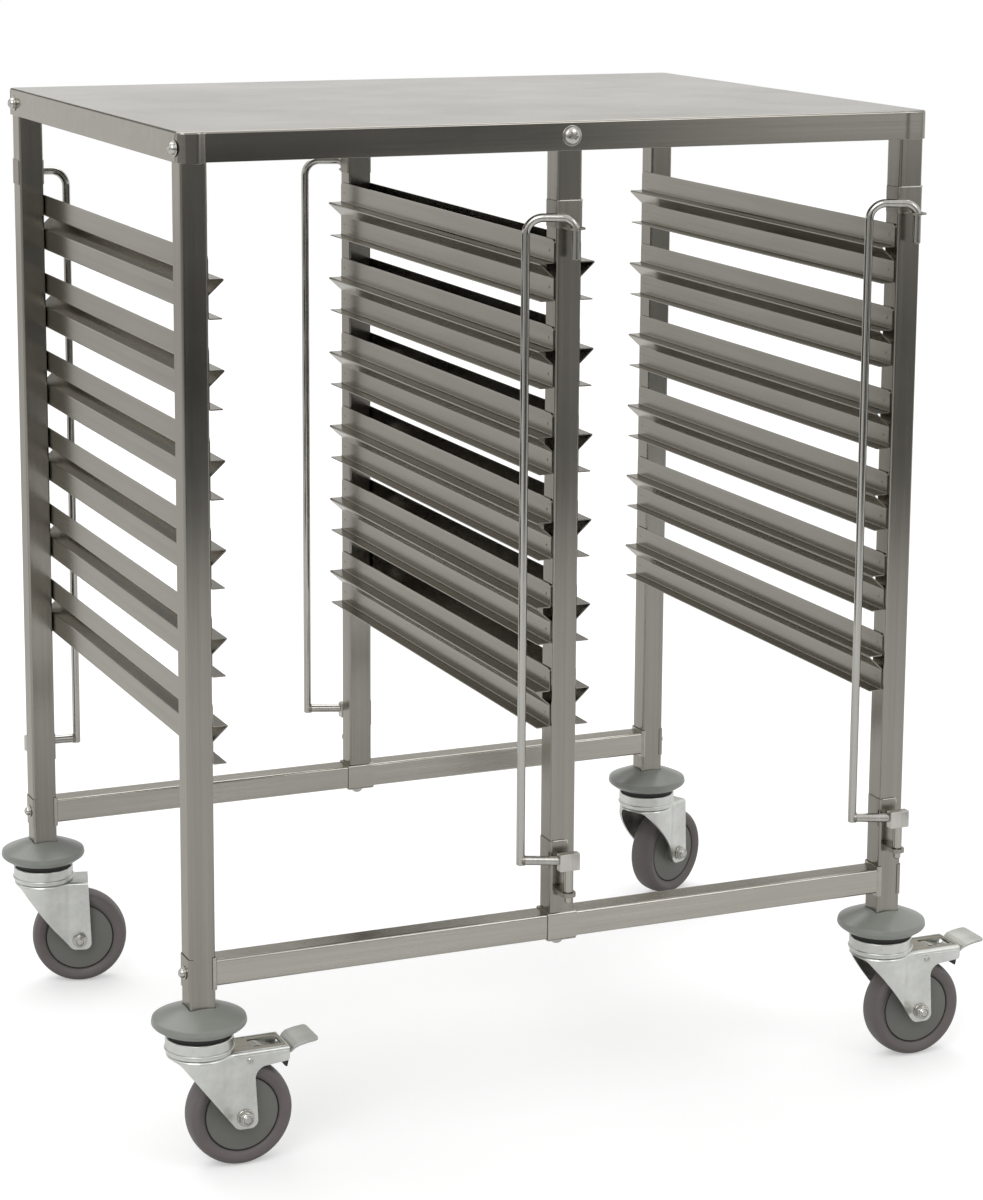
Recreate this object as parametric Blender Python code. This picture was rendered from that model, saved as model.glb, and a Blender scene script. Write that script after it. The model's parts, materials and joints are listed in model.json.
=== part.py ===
"""Two-column tray rack on castors, with a folded worktop, swinging rod gates and braked front wheels.

Metres, +Z up. The front of the rack faces -Y, and the floor is at Z = 0.
"""

import math

import bmesh
import bpy
from mathutils import Matrix, Vector

# Clearances
SEAT_GAP = 0.0003
TURN_GAP = 0.0004
WELD_OVERLAP = 0.0003

# Trays that the rack carries, and the play round them
TRAY_WIDTH = 0.325
TRAY_LENGTH = 0.530
TRAY_SIDE_PLAY = 0.0032
TRAY_END_PLAY = 0.015
LEVELS = 6
LEVEL_PITCH = 0.0809
TOP_LEDGE_DROP = 0.1296

# Square tube of the legs, mid posts and rails
TUBE_SIDE = 0.025
TUBE_WALL = 0.0012
TUBE_CORNER = 0.0025
RAIL_RISE = 0.0345

# Folded worktop
TOP_HEIGHT = 0.956
TOP_SHEET = 0.0015
TOP_FLANGE = 0.027
TOP_CORNER = 0.0075
TOP_FOLD = 0.0022
TOP_FLANGE_PLAY = 0.0013

# Folded runner
RUNNER_SHEET = 0.001
RUNNER_END_SETBACK = 0.004
RUNNER_UPPER_WEB = 0.021
RUNNER_LEDGE = 0.0150
RUNNER_NOSE = 0.0012
RUNNER_SLOPE_DROP = 0.0145
RUNNER_LOWER_WEB = 0.0205
RUNNER_LIP = 0.0135

# Sheet brackets welded to the tubes
BRACKET_SHEET = 0.0012
CLAMP_HEIGHT = 0.031
CLAMP_GRIP = 0.0035
CLAMP_BOLT_HOLE = 0.0085
SADDLE_WIDTH = 0.030
SADDLE_DROP = 0.0235

# Rod gate and its two brackets
ROD_DIAMETER = 0.008
GATE_AXIS_OFFSET = 0.0135
GATE_ARM = 0.0455
GATE_ARM_DROP = 0.0873
GATE_TOP_BEND = 0.016
GATE_HOOK_BEND = 0.012
GATE_HOOK_DROP = 0.0385
GATE_BAR_RISE = 0.0685
GATE_BAR_DIAMETER = 0.009
GATE_BLOCK_WIDTH = 0.022
GATE_BLOCK_DEPTH = 0.007
GATE_BLOCK_HEIGHT = 0.019
GATE_BLOCK_CORNER = 0.00175
GATE_PIN_DIAMETER = 0.0096
GATE_PIN_LENGTH = 0.021
GATE_TIP_DIAMETER = 0.0075
GATE_TIP_LENGTH = 0.0108
UPPER_COLLAR_HEIGHT = 0.025
UPPER_TAB_SHEET = 0.0016
UPPER_TAB_DROP = 0.0088
UPPER_TAB_RADIUS = 0.009
UPPER_TAB_PLAY = 0.0012
LOWER_COLLAR_HEIGHT = 0.028
LOWER_COLLAR_RISE = 0.0165
LOWER_TAB_SHEET = 0.004
LOWER_TAB_RADIUS = 0.0072

# Castor
WHEEL_RADIUS = 0.050
WHEEL_WIDTH = 0.030
TYRE_SHOULDER = 0.007
HUB_RADIUS = 0.0355
HUB_FACE_WIDTH = 0.0226
BOSS_RADIUS = 0.012
AXLE_DIAMETER = 0.008
AXLE_HEAD_DIAMETER = 0.014
AXLE_HEAD_HEIGHT = 0.0055
CASTOR_TRAIL = 0.037
WHEEL_CLEARANCE = 0.0095
FORK_SHEET = 0.0025
FORK_WIDTH = 0.042
FORK_SKIRT = 0.0018
FORK_TOE_RADIUS = 0.013
FORK_HEEL_LEAN = 0.0030
FORK_LEADING_EDGE = 0.026
FORK_CREASE = 0.020
RING_RADIUS = 0.0315
RING_RISE = 0.0155
RING_STEP = 0.0005
RING_BEAD = 0.001
RING_BEAD_RISE = 0.0045
SEAL_RADIUS = 0.026
SEAL_HEIGHT = 0.0085
KINGPIN_DIAMETER = 0.012
KINGPIN_HEAD_DIAMETER = 0.021
KINGPIN_HEAD_HEIGHT = 0.004
STEM_DIAMETER = 0.0205
STEM_LENGTH = 0.058

# Bumper disc between castor and leg
BUMPER_GAP = 0.0065
BUMPER_RADIUS = 0.044
BUMPER_FOOT_RADIUS = 0.028
BUMPER_CROWN_RADIUS = 0.0185
BUMPER_HEIGHT = 0.0215
BUMPER_RIM_HEIGHT = 0.0095
BUMPER_SOCKET_DEPTH = 0.004

# Pedal brake of the front castors, placed from the swivel axis and the top of the fork
BRAKE_REACH = 0.0805
BRAKE_SKIRT = 0.0155
BRAKE_NOTCH = 0.0115
BRAKE_PIVOT_X = 0.0424
BRAKE_PIVOT_DROP = 0.0075
BRAKE_PIVOT_DIAMETER = 0.0048
BRAKE_HUB_DIAMETER = 0.0084
PEDAL_SHEET = 0.003
PEDAL_WIDTH = 0.034
PEDAL_KNEE = 0.004
PEDAL_REACH = 0.025
PEDAL_RISE = 0.010
SHOE_DEPTH = 0.0135
SHOE_LENGTH = 0.009

# Where the fork's round front and round toe begin, in degrees
FORK_FRONT_START = 75.0
FORK_TOE_START = 217.0

# Directions in which the gate arms point and the castors trail, in degrees from +X
GATE_YAWS = {"front_left": 156.0, "front_right": 156.0, "back_left": -6.0, "back_right": 160.0}
GATE_BLOCK_TURN = 24.0
CASTOR_YAWS = {"front_left": 0.0, "front_right": 0.0, "back_left": -15.0, "back_right": 25.0}
BRAKED = ("front_left", "front_right")

# Facets of the round pieces
TUBE_CORNER_STEPS = 2
ROD_SIDES = 8
PIN_SIDES = 10
WHEEL_SIDES = 24
DISC_SIDES = 20
HEAD_SIDES = 16
BEND_STEPS = 4
PLATE_CORNER_STEPS = 4
FOLD_STEPS = 3
NOSE_STEPS = 2
EAR_STEPS = 6
FORK_FRONT_STEPS = 10
TOE_STEPS = 6
NOTCH_STEPS = 3
DOME_STEPS = 4
BELLY_STEPS = 2

# Places that follow from the sizes above
POST_PITCH = TRAY_WIDTH + 2 * (TRAY_SIDE_PLAY + RUNNER_SHEET + SEAT_GAP) + TUBE_SIDE
FRAME_DEPTH = TRAY_LENGTH + 2 * TRAY_END_PLAY
HALF_TUBE = TUBE_SIDE / 2
TOP_LEDGE_HEIGHT = TOP_HEIGHT - TOP_LEDGE_DROP
GATE_ARM_HEIGHT = TOP_HEIGHT - GATE_ARM_DROP
POST_Y = FRAME_DEPTH / 2 - HALF_TUBE
CROWN_UNDERSIDE = 2 * WHEEL_RADIUS + WHEEL_CLEARANCE
FORK_CROWN_HEIGHT = CROWN_UNDERSIDE + FORK_SHEET
RING_HEIGHT = FORK_CROWN_HEIGHT + RING_RISE
RING_BEAD_HEIGHT = FORK_CROWN_HEIGHT + RING_BEAD_RISE
BRAKE_PIVOT_Z = FORK_CROWN_HEIGHT - BRAKE_PIVOT_DROP
CASTOR_HEIGHT = RING_HEIGHT + BUMPER_GAP
BUMPER_TOP = CASTOR_HEIGHT + BUMPER_HEIGHT
RAIL_HEIGHT = BUMPER_TOP + RAIL_RISE
GATE_BAR_HEIGHT = RAIL_HEIGHT + GATE_BAR_RISE
LEG_BOTTOM = BUMPER_TOP - BUMPER_SOCKET_DEPTH + SEAT_GAP
POST_TOP = TOP_HEIGHT - TOP_SHEET - SEAT_GAP
RAIL_TOP = RAIL_HEIGHT + HALF_TUBE
CHEEK_INNER = FORK_WIDTH / 2 - FORK_SHEET

LEG_PLACES = {
    "front_left": (-POST_PITCH, -POST_Y),
    "front_right": (POST_PITCH, -POST_Y),
    "back_left": (-POST_PITCH, POST_Y),
    "back_right": (POST_PITCH, POST_Y),
}

# Colour, roughness and metallic value of each finish
FINISHES = {
    "brushed_stainless": ((0.42, 0.40, 0.36, 1.0), 0.34, 1.0),
    "polished_rod": ((0.50, 0.49, 0.46, 1.0), 0.22, 1.0),
    "zinc_plate": ((0.60, 0.61, 0.60, 1.0), 0.30, 1.0),
    "bumper_rubber": ((0.21, 0.22, 0.20, 1.0), 0.55, 0.0),
    "tyre_rubber": ((0.14, 0.12, 0.12, 1.0), 0.50, 0.0),
}


def clear_scene():
    for item in list(bpy.data.objects):
        bpy.data.objects.remove(item, do_unlink=True)


def finish(name):
    """The named material, made on its first use."""
    material = bpy.data.materials.get(name)
    if material:
        return material
    colour, roughness, metallic = FINISHES[name]
    material = bpy.data.materials.new(name)
    material.use_nodes = True
    shader = material.node_tree.nodes["Principled BSDF"]
    shader.inputs["Base Color"].default_value = colour
    shader.inputs["Roughness"].default_value = roughness
    shader.inputs["Metallic"].default_value = metallic
    return material


def place(name, mesh, material, parent, location=(0, 0, 0), turn=0.0):
    """Adds a mesh to the scene as a named piece, turned about Z by degrees."""
    piece = bpy.data.objects.new(name, mesh)
    bpy.context.scene.collection.objects.link(piece)
    piece.parent = parent
    piece.location = location
    piece.rotation_euler = (0, 0, math.radians(turn))
    if not mesh.materials:
        mesh.materials.append(finish(material))
        mesh.shade_smooth()
        mesh.set_sharp_from_angle(angle=math.radians(35))
    return piece


def pivot(name, parent, location=(0, 0, 0), turn=0.0):
    """An empty that carries the pieces round one axis."""
    empty = bpy.data.objects.new(name, None)
    bpy.context.scene.collection.objects.link(empty)
    empty.parent = parent
    empty.location = location
    empty.rotation_euler = (0, 0, math.radians(turn))
    return empty


def loft(loops, ring=False):
    """A closed mesh through loops of equal length, capped at both ends or joined end to end."""
    form = bmesh.new()
    rows = [[form.verts.new(point) for point in loop] for loop in loops]
    pairs = list(zip(rows, rows[1:]))
    if ring:
        pairs.append((rows[-1], rows[0]))
    else:
        form.faces.new(rows[0])
        form.faces.new(rows[-1])
    for near, far in pairs:
        for here in range(len(near)):
            there = (here + 1) % len(near)
            form.faces.new((near[here], near[there], far[there], far[here]))
    bmesh.ops.recalc_face_normals(form, faces=form.faces)
    mesh = bpy.data.meshes.new("form")
    form.to_mesh(mesh)
    form.free()
    return mesh


def combine(base, tools, operation):
    """The mesh of base joined with, cut by or limited to each tool mesh in turn."""
    carrier = bpy.data.objects.new("carrier", base)
    bpy.context.scene.collection.objects.link(carrier)
    helpers = []
    for tool in tools:
        helper = bpy.data.objects.new("helper", tool)
        bpy.context.scene.collection.objects.link(helper)
        helpers.append(helper)
        modifier = carrier.modifiers.new("combine", "BOOLEAN")
        modifier.operation = operation
        modifier.solver = "EXACT"
        modifier.object = helper
    graph = bpy.context.evaluated_depsgraph_get()
    result = bpy.data.meshes.new_from_object(carrier.evaluated_get(graph))
    for item in [carrier, *helpers]:
        bpy.data.objects.remove(item, do_unlink=True)
    return result


def moved(mesh, matrix):
    mesh.transform(matrix)
    return mesh


def shifted(mesh, x=0.0, y=0.0, z=0.0):
    return moved(mesh, Matrix.Translation((x, y, z)))


def turned_about(mesh, axis, degrees):
    return moved(mesh, Matrix.Rotation(math.radians(degrees), 4, axis))


def prism(outline, bottom, top):
    """An outline in X and Y, extruded from bottom to top along Z."""
    return loft([[(x, y, z) for x, y in outline] for z in (bottom, top)])


def side_prism(outline, half_width):
    """An outline in X and Z, extruded by half_width to both sides along Y."""
    return loft([[(x, y, z) for x, z in outline] for y in (-half_width, half_width)])


def circle(radius, sides, hole=False):
    """A polygon with one flat to -Y. Its corners lie at the radius or, round a hole, its flats do."""
    reach = radius / math.cos(math.pi / sides) if hole else radius
    start = -math.pi / 2 + math.pi / sides
    angles = [start + 2 * math.pi * step / sides for step in range(sides)]
    return [(reach * math.cos(angle), reach * math.sin(angle)) for angle in angles]


def arc(centre, radius, first, last, steps):
    """Points on an arc, by angles in degrees."""
    angles = [math.radians(first + (last - first) * step / steps) for step in range(steps + 1)]
    return [(centre[0] + radius * math.cos(a), centre[1] + radius * math.sin(a)) for a in angles]


def cutter(radius, bottom, top, sides=PIN_SIDES):
    """An upright cylinder that cuts a hole with no flat inside the radius."""
    return prism(circle(radius, sides, hole=True), bottom, top)


def cross_cutter(radius, x, z):
    """A cutter along Y through both cheeks of a fork."""
    return shifted(turned_about(cutter(radius, -FORK_WIDTH, FORK_WIDTH), "X", 90), x=x, z=z)


def cross_pin(radius, half_length):
    """A round pin along Y."""
    return turned_about(prism(circle(radius, PIN_SIDES), -half_length, half_length), "X", 90)


def turned(profile, sides, ring=False):
    """A profile of radius and height, turned about Z. A ring's flats lie at its radii."""
    return loft([[(x, y, z) for x, y in circle(radius, sides, ring)] for radius, z in profile], ring)


def rounded_rectangle(width, depth, radius, steps):
    corners = ((1, 1, 0), (-1, 1, 90), (-1, -1, 180), (1, -1, 270))
    points = []
    for side_x, side_y, first in corners:
        centre = (side_x * (width / 2 - radius), side_y * (depth / 2 - radius))
        points += arc(centre, radius, first, first + 90, steps)
    return points


def sheet_outline(path, thickness):
    """The outline of a folded sheet whose left side follows the path."""
    def offset(index):
        here = Vector(path[index])
        before = (here - Vector(path[index - 1])).normalized() if index else None
        after = (Vector(path[index + 1]) - here).normalized() if index + 1 < len(path) else None
        before = before or after
        after = after or before
        mitre = (before + after).normalized()
        right = Vector((mitre.y, -mitre.x))
        return tuple(here + right * thickness / mitre.dot(before))

    return list(path) + [offset(index) for index in reversed(range(len(path)))]


def square_tube(bottom, top):
    """An upright square tube, open at both ends."""
    outer = rounded_rectangle(TUBE_SIDE, TUBE_SIDE, TUBE_CORNER, TUBE_CORNER_STEPS)
    bore = TUBE_SIDE - 2 * TUBE_WALL
    inner = rounded_rectangle(bore, bore, TUBE_CORNER - TUBE_WALL, TUBE_CORNER_STEPS)
    levels = ((outer, bottom), (outer, top), (inner, top), (inner, bottom))
    return loft([[(x, y, z) for x, y in outline] for outline, z in levels], ring=True)


def channel_outline(inside, reach):
    """A channel in plan, open to -X, whose web lies just beyond X = inside / 2."""
    half = inside / 2
    path = [(half - reach, -half), (half, -half), (half, half), (half - reach, half)]
    return sheet_outline(path, BRACKET_SHEET)


def clamp_plate(inside):
    """A shallow channel that grips a leg at the rail's height."""
    outline = channel_outline(inside, CLAMP_GRIP)
    return prism(outline, RAIL_HEIGHT - CLAMP_HEIGHT / 2, RAIL_HEIGHT + CLAMP_HEIGHT / 2)


def collar(bottom, top):
    """A sheet collar welded round the front and both sides of a post."""
    outline = channel_outline(TUBE_SIDE - 2 * WELD_OVERLAP, TUBE_SIDE - TUBE_CORNER)
    return turned_about(prism(outline, bottom, top), "Z", -90)


def ear(radius, hole, bottom, top):
    """A sheet ear on the front of a post, with a round end and a hole on the gate's axis."""
    root = -HALF_TUBE + TUBE_WALL / 2
    end = (0.0, -HALF_TUBE - GATE_AXIS_OFFSET)
    outline = [(radius, root), (-radius, root)] + arc(end, radius, 180, 360, EAR_STEPS)
    bore = shifted(cutter(hole, bottom - radius, top + radius), y=end[1])
    return combine(prism(outline, bottom, top), [bore], "DIFFERENCE")


def gate_brackets():
    """Upper collar with its ear, lower collar, and the ear that the gate's pin stands on."""
    ear_top = GATE_ARM_HEIGHT - UPPER_TAB_DROP
    ear_bottom = ear_top - UPPER_TAB_SHEET
    lower_top = GATE_BAR_HEIGHT + LOWER_COLLAR_RISE
    pin_seat = GATE_BAR_HEIGHT - GATE_BLOCK_HEIGHT / 2 - GATE_PIN_LENGTH - SEAT_GAP
    return [
        collar(ear_bottom, ear_bottom + UPPER_COLLAR_HEIGHT),
        ear(UPPER_TAB_RADIUS, ROD_DIAMETER / 2 + UPPER_TAB_PLAY, ear_bottom, ear_top),
        collar(lower_top - LOWER_COLLAR_HEIGHT, lower_top),
        ear(LOWER_TAB_RADIUS, GATE_TIP_DIAMETER / 2 + TURN_GAP, pin_seat - LOWER_TAB_SHEET, pin_seat),
    ]


def saddle():
    """An inverted channel that seats a mid post on the rail."""
    half = HALF_TUBE + SEAT_GAP
    path = [(-half, RAIL_TOP - SADDLE_DROP), (-half, RAIL_TOP + SEAT_GAP)]
    path += [(half, RAIL_TOP + SEAT_GAP), (half, RAIL_TOP - SADDLE_DROP)]
    outline = sheet_outline(path[::-1], BRACKET_SHEET)
    return turned_about(side_prism(outline, SADDLE_WIDTH / 2), "Z", 90)


def post(bottom, extras, back):
    """A tube with its welded brackets, turned half round for the back of the rack."""
    mesh = combine(square_tube(bottom, POST_TOP), extras, "UNION")
    return turned_about(mesh, "Z", 180) if back else mesh


def leg(gated, back, left):
    plate = clamp_plate(TUBE_SIDE - 2 * WELD_OVERLAP)
    outer_plate = turned_about(plate, "Z", 180) if left != back else plate
    extras = [outer_plate] + (gate_brackets() if gated else [])
    return post(LEG_BOTTOM, extras, back)


def mid_post(back):
    bottom = RAIL_TOP + SEAT_GAP + BRACKET_SHEET / 2
    return post(bottom, [saddle(), *gate_brackets()], back)


def rail():
    """A tube between two legs, with a clamp channel welded on each end."""
    plate_face = POST_PITCH - HALF_TUBE - SEAT_GAP
    half_length = plate_face - BRACKET_SHEET / 2
    tube = turned_about(square_tube(-half_length, half_length), "Y", 90)
    tube = shifted(tube, z=RAIL_HEIGHT)
    ends = []
    for side in (1, -1):
        plate = turned_about(clamp_plate(TUBE_SIDE + 2 * SEAT_GAP), "Z", 180)
        hole = turned_about(cutter(CLAMP_BOLT_HOLE / 2, -HALF_TUBE, HALF_TUBE), "Y", 90)
        hole = shifted(hole, x=-HALF_TUBE, z=RAIL_HEIGHT)
        plate = shifted(combine(plate, [hole], "DIFFERENCE"), x=POST_PITCH)
        ends.append(plate if side > 0 else turned_about(plate, "Z", 180))
    return combine(tube, ends, "UNION")


def worktop():
    """A folded tray, open below, with round corners and a soft top edge."""
    overhang = TOP_FLANGE_PLAY + TOP_SHEET
    width = 2 * (POST_PITCH + HALF_TUBE + overhang)
    depth = FRAME_DEPTH + 2 * overhang
    flange_end = TOP_HEIGHT - TOP_FLANGE

    def level(inset, z):
        radius = TOP_CORNER - inset
        outline = rounded_rectangle(width - 2 * inset, depth - 2 * inset, radius, PLATE_CORNER_STEPS)
        return [(x, y, z) for x, y in outline]

    fold = arc((TOP_FOLD, TOP_HEIGHT - TOP_FOLD), TOP_FOLD, 90, 180, FOLD_STEPS)
    loops = [level(inset, z) for inset, z in fold]
    loops.append(level(0.0, flange_end))
    loops.append(level(TOP_SHEET, flange_end))
    loops.append(level(TOP_SHEET, TOP_HEIGHT - TOP_SHEET))
    return loft(loops)


def runner():
    """A folded runner with its ledge at Z = 0: upper web, ledge and round nose, slope, lower web, lip."""
    nose = (RUNNER_LEDGE - RUNNER_NOSE, -RUNNER_NOSE)
    slope_end = -RUNNER_SLOPE_DROP
    foot = slope_end - RUNNER_LOWER_WEB
    path = [(RUNNER_LIP, foot), (RUNNER_SHEET, foot), (RUNNER_SHEET, slope_end)]
    path += arc(nose, RUNNER_NOSE, -45, 90, NOSE_STEPS)
    path += [(RUNNER_SHEET, 0.0), (RUNNER_SHEET, RUNNER_UPPER_WEB)]
    outline = sheet_outline(path[::-1], RUNNER_SHEET)
    return side_prism(outline, FRAME_DEPTH / 2 - RUNNER_END_SETBACK)


def rod(path, radius):
    """A round rod along a path in X and Z."""
    loops = []
    for index, (x, z) in enumerate(path):
        before = Vector(path[max(index - 1, 0)])
        after = Vector(path[min(index + 1, len(path) - 1)])
        along = (after - before).normalized()
        across = Vector((along.y, -along.x))
        loop = [(x + across.x * u, v, z + across.y * u) for u, v in circle(radius, ROD_SIDES)]
        loops.append(loop)
    return loft(loops)


def gate():
    """A rod gate along +X from its swing axis: hook, arm, upright rod, bar, hinge block and stepped pin."""
    bar_radius = GATE_BAR_DIAMETER / 2
    top = GATE_ARM_HEIGHT
    path = [(GATE_ARM, GATE_BAR_HEIGHT - bar_radius)]
    path += arc((GATE_ARM - GATE_TOP_BEND, top - GATE_TOP_BEND), GATE_TOP_BEND, 0, 90, BEND_STEPS)
    path += arc((GATE_HOOK_BEND, top - GATE_HOOK_BEND), GATE_HOOK_BEND, 90, 180, BEND_STEPS)
    path.append((0.0, top - GATE_HOOK_DROP))
    upright = rod(path, ROD_DIAMETER / 2)
    bar = rod([(GATE_ARM, GATE_BAR_HEIGHT), (0.0, GATE_BAR_HEIGHT)], bar_radius)
    block_bottom = GATE_BAR_HEIGHT - GATE_BLOCK_HEIGHT / 2
    block_size = (GATE_BLOCK_WIDTH, GATE_BLOCK_DEPTH, GATE_BLOCK_CORNER)
    block = rounded_rectangle(*block_size, TUBE_CORNER_STEPS)
    block = prism(block, block_bottom, block_bottom + GATE_BLOCK_HEIGHT)
    block = turned_about(block, "Z", GATE_BLOCK_TURN)
    shoulder = block_bottom - GATE_PIN_LENGTH
    steps = [(GATE_PIN_DIAMETER / 2, GATE_BAR_HEIGHT - bar_radius / 2)]
    steps += [(GATE_PIN_DIAMETER / 2, shoulder), (GATE_TIP_DIAMETER / 2, shoulder)]
    steps += [(GATE_TIP_DIAMETER / 2, shoulder - GATE_TIP_LENGTH)]
    pin = turned(steps, PIN_SIDES)
    return combine(upright, [bar, block, pin], "UNION")


def bumper():
    """A biconvex disc with a square socket for the leg and a bore for the castor's stem."""
    bore = STEM_DIAMETER / 2 + TURN_GAP
    belly = BUMPER_RADIUS - BUMPER_FOOT_RADIUS
    dome = BUMPER_RADIUS - BUMPER_CROWN_RADIUS
    dome_height = BUMPER_HEIGHT - BUMPER_RIM_HEIGHT
    profile = [(bore, BUMPER_HEIGHT)]
    for step in range(DOME_STEPS, -1, -1):
        angle = math.pi / 2 * step / DOME_STEPS
        radius = BUMPER_CROWN_RADIUS + dome * math.cos(angle)
        profile.append((radius, BUMPER_RIM_HEIGHT + dome_height * math.sin(angle)))
    for step in range(BELLY_STEPS, -1, -1):
        angle = math.pi / 2 * step / (BELLY_STEPS + 1)
        radius = BUMPER_FOOT_RADIUS + belly * math.sin(angle)
        profile.append((radius, BUMPER_RIM_HEIGHT * (1 - math.cos(angle))))
    profile.append((bore, 0.0))
    disc = shifted(turned(profile, DISC_SIDES, ring=True), z=CASTOR_HEIGHT)
    side = TUBE_SIDE + 2 * SEAT_GAP
    outline = rounded_rectangle(side, side, TUBE_CORNER, TUBE_CORNER_STEPS)
    socket = prism(outline, BUMPER_TOP - BUMPER_SOCKET_DEPTH, BUMPER_TOP + BUMPER_SOCKET_DEPTH)
    return combine(disc, [socket], "DIFFERENCE")


def swivel_head():
    """The fixed half of a castor: stem in the leg, seal disc, kingpin and its riveted head."""
    stem, pin = STEM_DIAMETER / 2, KINGPIN_DIAMETER / 2
    seal_top = CASTOR_HEIGHT - SEAT_GAP
    seal_bottom = seal_top - SEAL_HEIGHT
    head_top = CROWN_UNDERSIDE - TURN_GAP
    profile = [(stem, CASTOR_HEIGHT + STEM_LENGTH), (stem, seal_top)]
    profile += [(SEAL_RADIUS, seal_top), (SEAL_RADIUS, seal_bottom), (pin, seal_bottom)]
    profile += [(pin, head_top), (KINGPIN_HEAD_DIAMETER / 2, head_top)]
    profile += [(KINGPIN_HEAD_DIAMETER / 2, head_top - KINGPIN_HEAD_HEIGHT)]
    return turned(profile, HEAD_SIDES)


def fork_plan(inset, reach):
    """The fork's outline from above: round the ring at the front, then flat cheeks to the rear."""
    half = FORK_WIDTH / 2 - inset
    nose = RING_RADIUS - RING_STEP - inset
    front = arc((0, 0), nose, FORK_FRONT_START, 360 - FORK_FRONT_START, FORK_FRONT_STEPS)
    return [(reach, half), (FORK_CREASE, half)] + front + [(FORK_CREASE, -half), (reach, -half)]


def fork_side(braked):
    """The fork's outline from the side, from the front skirt round the toe to the heel."""
    axle = (CASTOR_TRAIL, WHEEL_RADIUS)
    skirt_end = FORK_CROWN_HEIGHT - FORK_SKIRT
    front = -2 * RING_RADIUS
    above = 2 * FORK_CROWN_HEIGHT
    heel = CASTOR_TRAIL + FORK_TOE_RADIUS - FORK_HEEL_LEAN
    outline = [(front, above), (front, skirt_end), (-FORK_LEADING_EDGE, skirt_end)]
    outline += arc(axle, FORK_TOE_RADIUS, FORK_TOE_START, 360, TOE_STEPS)
    if not braked:
        return outline + [(heel, FORK_CROWN_HEIGHT), (heel, above)]
    low = FORK_CROWN_HEIGHT - BRAKE_SKIRT
    centre = (heel + BRAKE_NOTCH, low - BRAKE_NOTCH)
    outline += arc(centre, BRAKE_NOTCH, 180, 90, NOTCH_STEPS)
    return outline + [(BRAKE_REACH, low), (BRAKE_REACH, above)]


def fork(braked):
    """A pressed fork: crown, raised ball-race ring, two cheeks and, on a braked castor, a brake housing."""
    reach = BRAKE_REACH if braked else CASTOR_TRAIL + FORK_TOE_RADIUS - FORK_HEEL_LEAN
    shell = prism(fork_plan(0.0, reach), 0.0, FORK_CROWN_HEIGHT)
    hollow = prism(fork_plan(FORK_SHEET, 2 * reach), -FORK_SHEET, CROWN_UNDERSIDE)
    shell = combine(shell, [hollow], "DIFFERENCE")
    shell = combine(shell, [side_prism(fork_side(braked), FORK_WIDTH)], "INTERSECT")
    recess = CASTOR_HEIGHT - SEAT_GAP - SEAL_HEIGHT - TURN_GAP
    ring = [(SEAL_RADIUS + TURN_GAP, recess), (SEAL_RADIUS + TURN_GAP, RING_HEIGHT)]
    ring += [(RING_RADIUS - 2 * RING_STEP, RING_HEIGHT), (RING_RADIUS, RING_HEIGHT - 2 * RING_STEP)]
    ring += [(RING_RADIUS, RING_BEAD_HEIGHT + RING_BEAD), (RING_RADIUS + RING_BEAD, RING_BEAD_HEIGHT)]
    ring += [(RING_RADIUS, RING_BEAD_HEIGHT - RING_BEAD), (RING_RADIUS, CROWN_UNDERSIDE + FORK_SHEET / 2)]
    shell = combine(shell, [turned(ring, DISC_SIDES)], "UNION")
    cuts = [cutter(KINGPIN_DIAMETER / 2 + TURN_GAP, 0.0, 2 * CASTOR_HEIGHT, HEAD_SIDES)]
    cuts.append(cross_cutter(AXLE_DIAMETER / 2 + TURN_GAP, CASTOR_TRAIL, WHEEL_RADIUS))
    if braked:
        pivot_hole = BRAKE_PIVOT_DIAMETER / 2 + TURN_GAP
        cuts.append(cross_cutter(pivot_hole, BRAKE_PIVOT_X, BRAKE_PIVOT_Z))
    return combine(shell, cuts, "DIFFERENCE")


def wheel():
    """Tyre bonded on a hub, with its bore along Y."""
    half, face = WHEEL_WIDTH / 2, HUB_FACE_WIDTH / 2
    boss_half = CHEEK_INNER - TURN_GAP
    bore = AXLE_DIAMETER / 2 + TURN_GAP
    side = [(bore, boss_half), (BOSS_RADIUS, boss_half), (BOSS_RADIUS, face), (HUB_RADIUS, face)]
    side += [(WHEEL_RADIUS - TYRE_SHOULDER, half)]
    side += [(WHEEL_RADIUS, half - TYRE_SHOULDER)]
    profile = side + [(radius, -z) for radius, z in reversed(side)]
    return turned_about(turned(profile, WHEEL_SIDES, ring=True), "X", 90)


def axle():
    """A bolt across the fork with a head and a nut, along Y."""
    shank, head = AXLE_DIAMETER / 2, AXLE_HEAD_DIAMETER / 2
    seat = FORK_WIDTH / 2 + SEAT_GAP
    side = [(head, seat + AXLE_HEAD_HEIGHT), (head, seat), (shank, seat)]
    profile = side + [(radius, -z) for radius, z in reversed(side)]
    return turned_about(turned(profile, PIN_SIDES), "X", 90)


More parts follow.
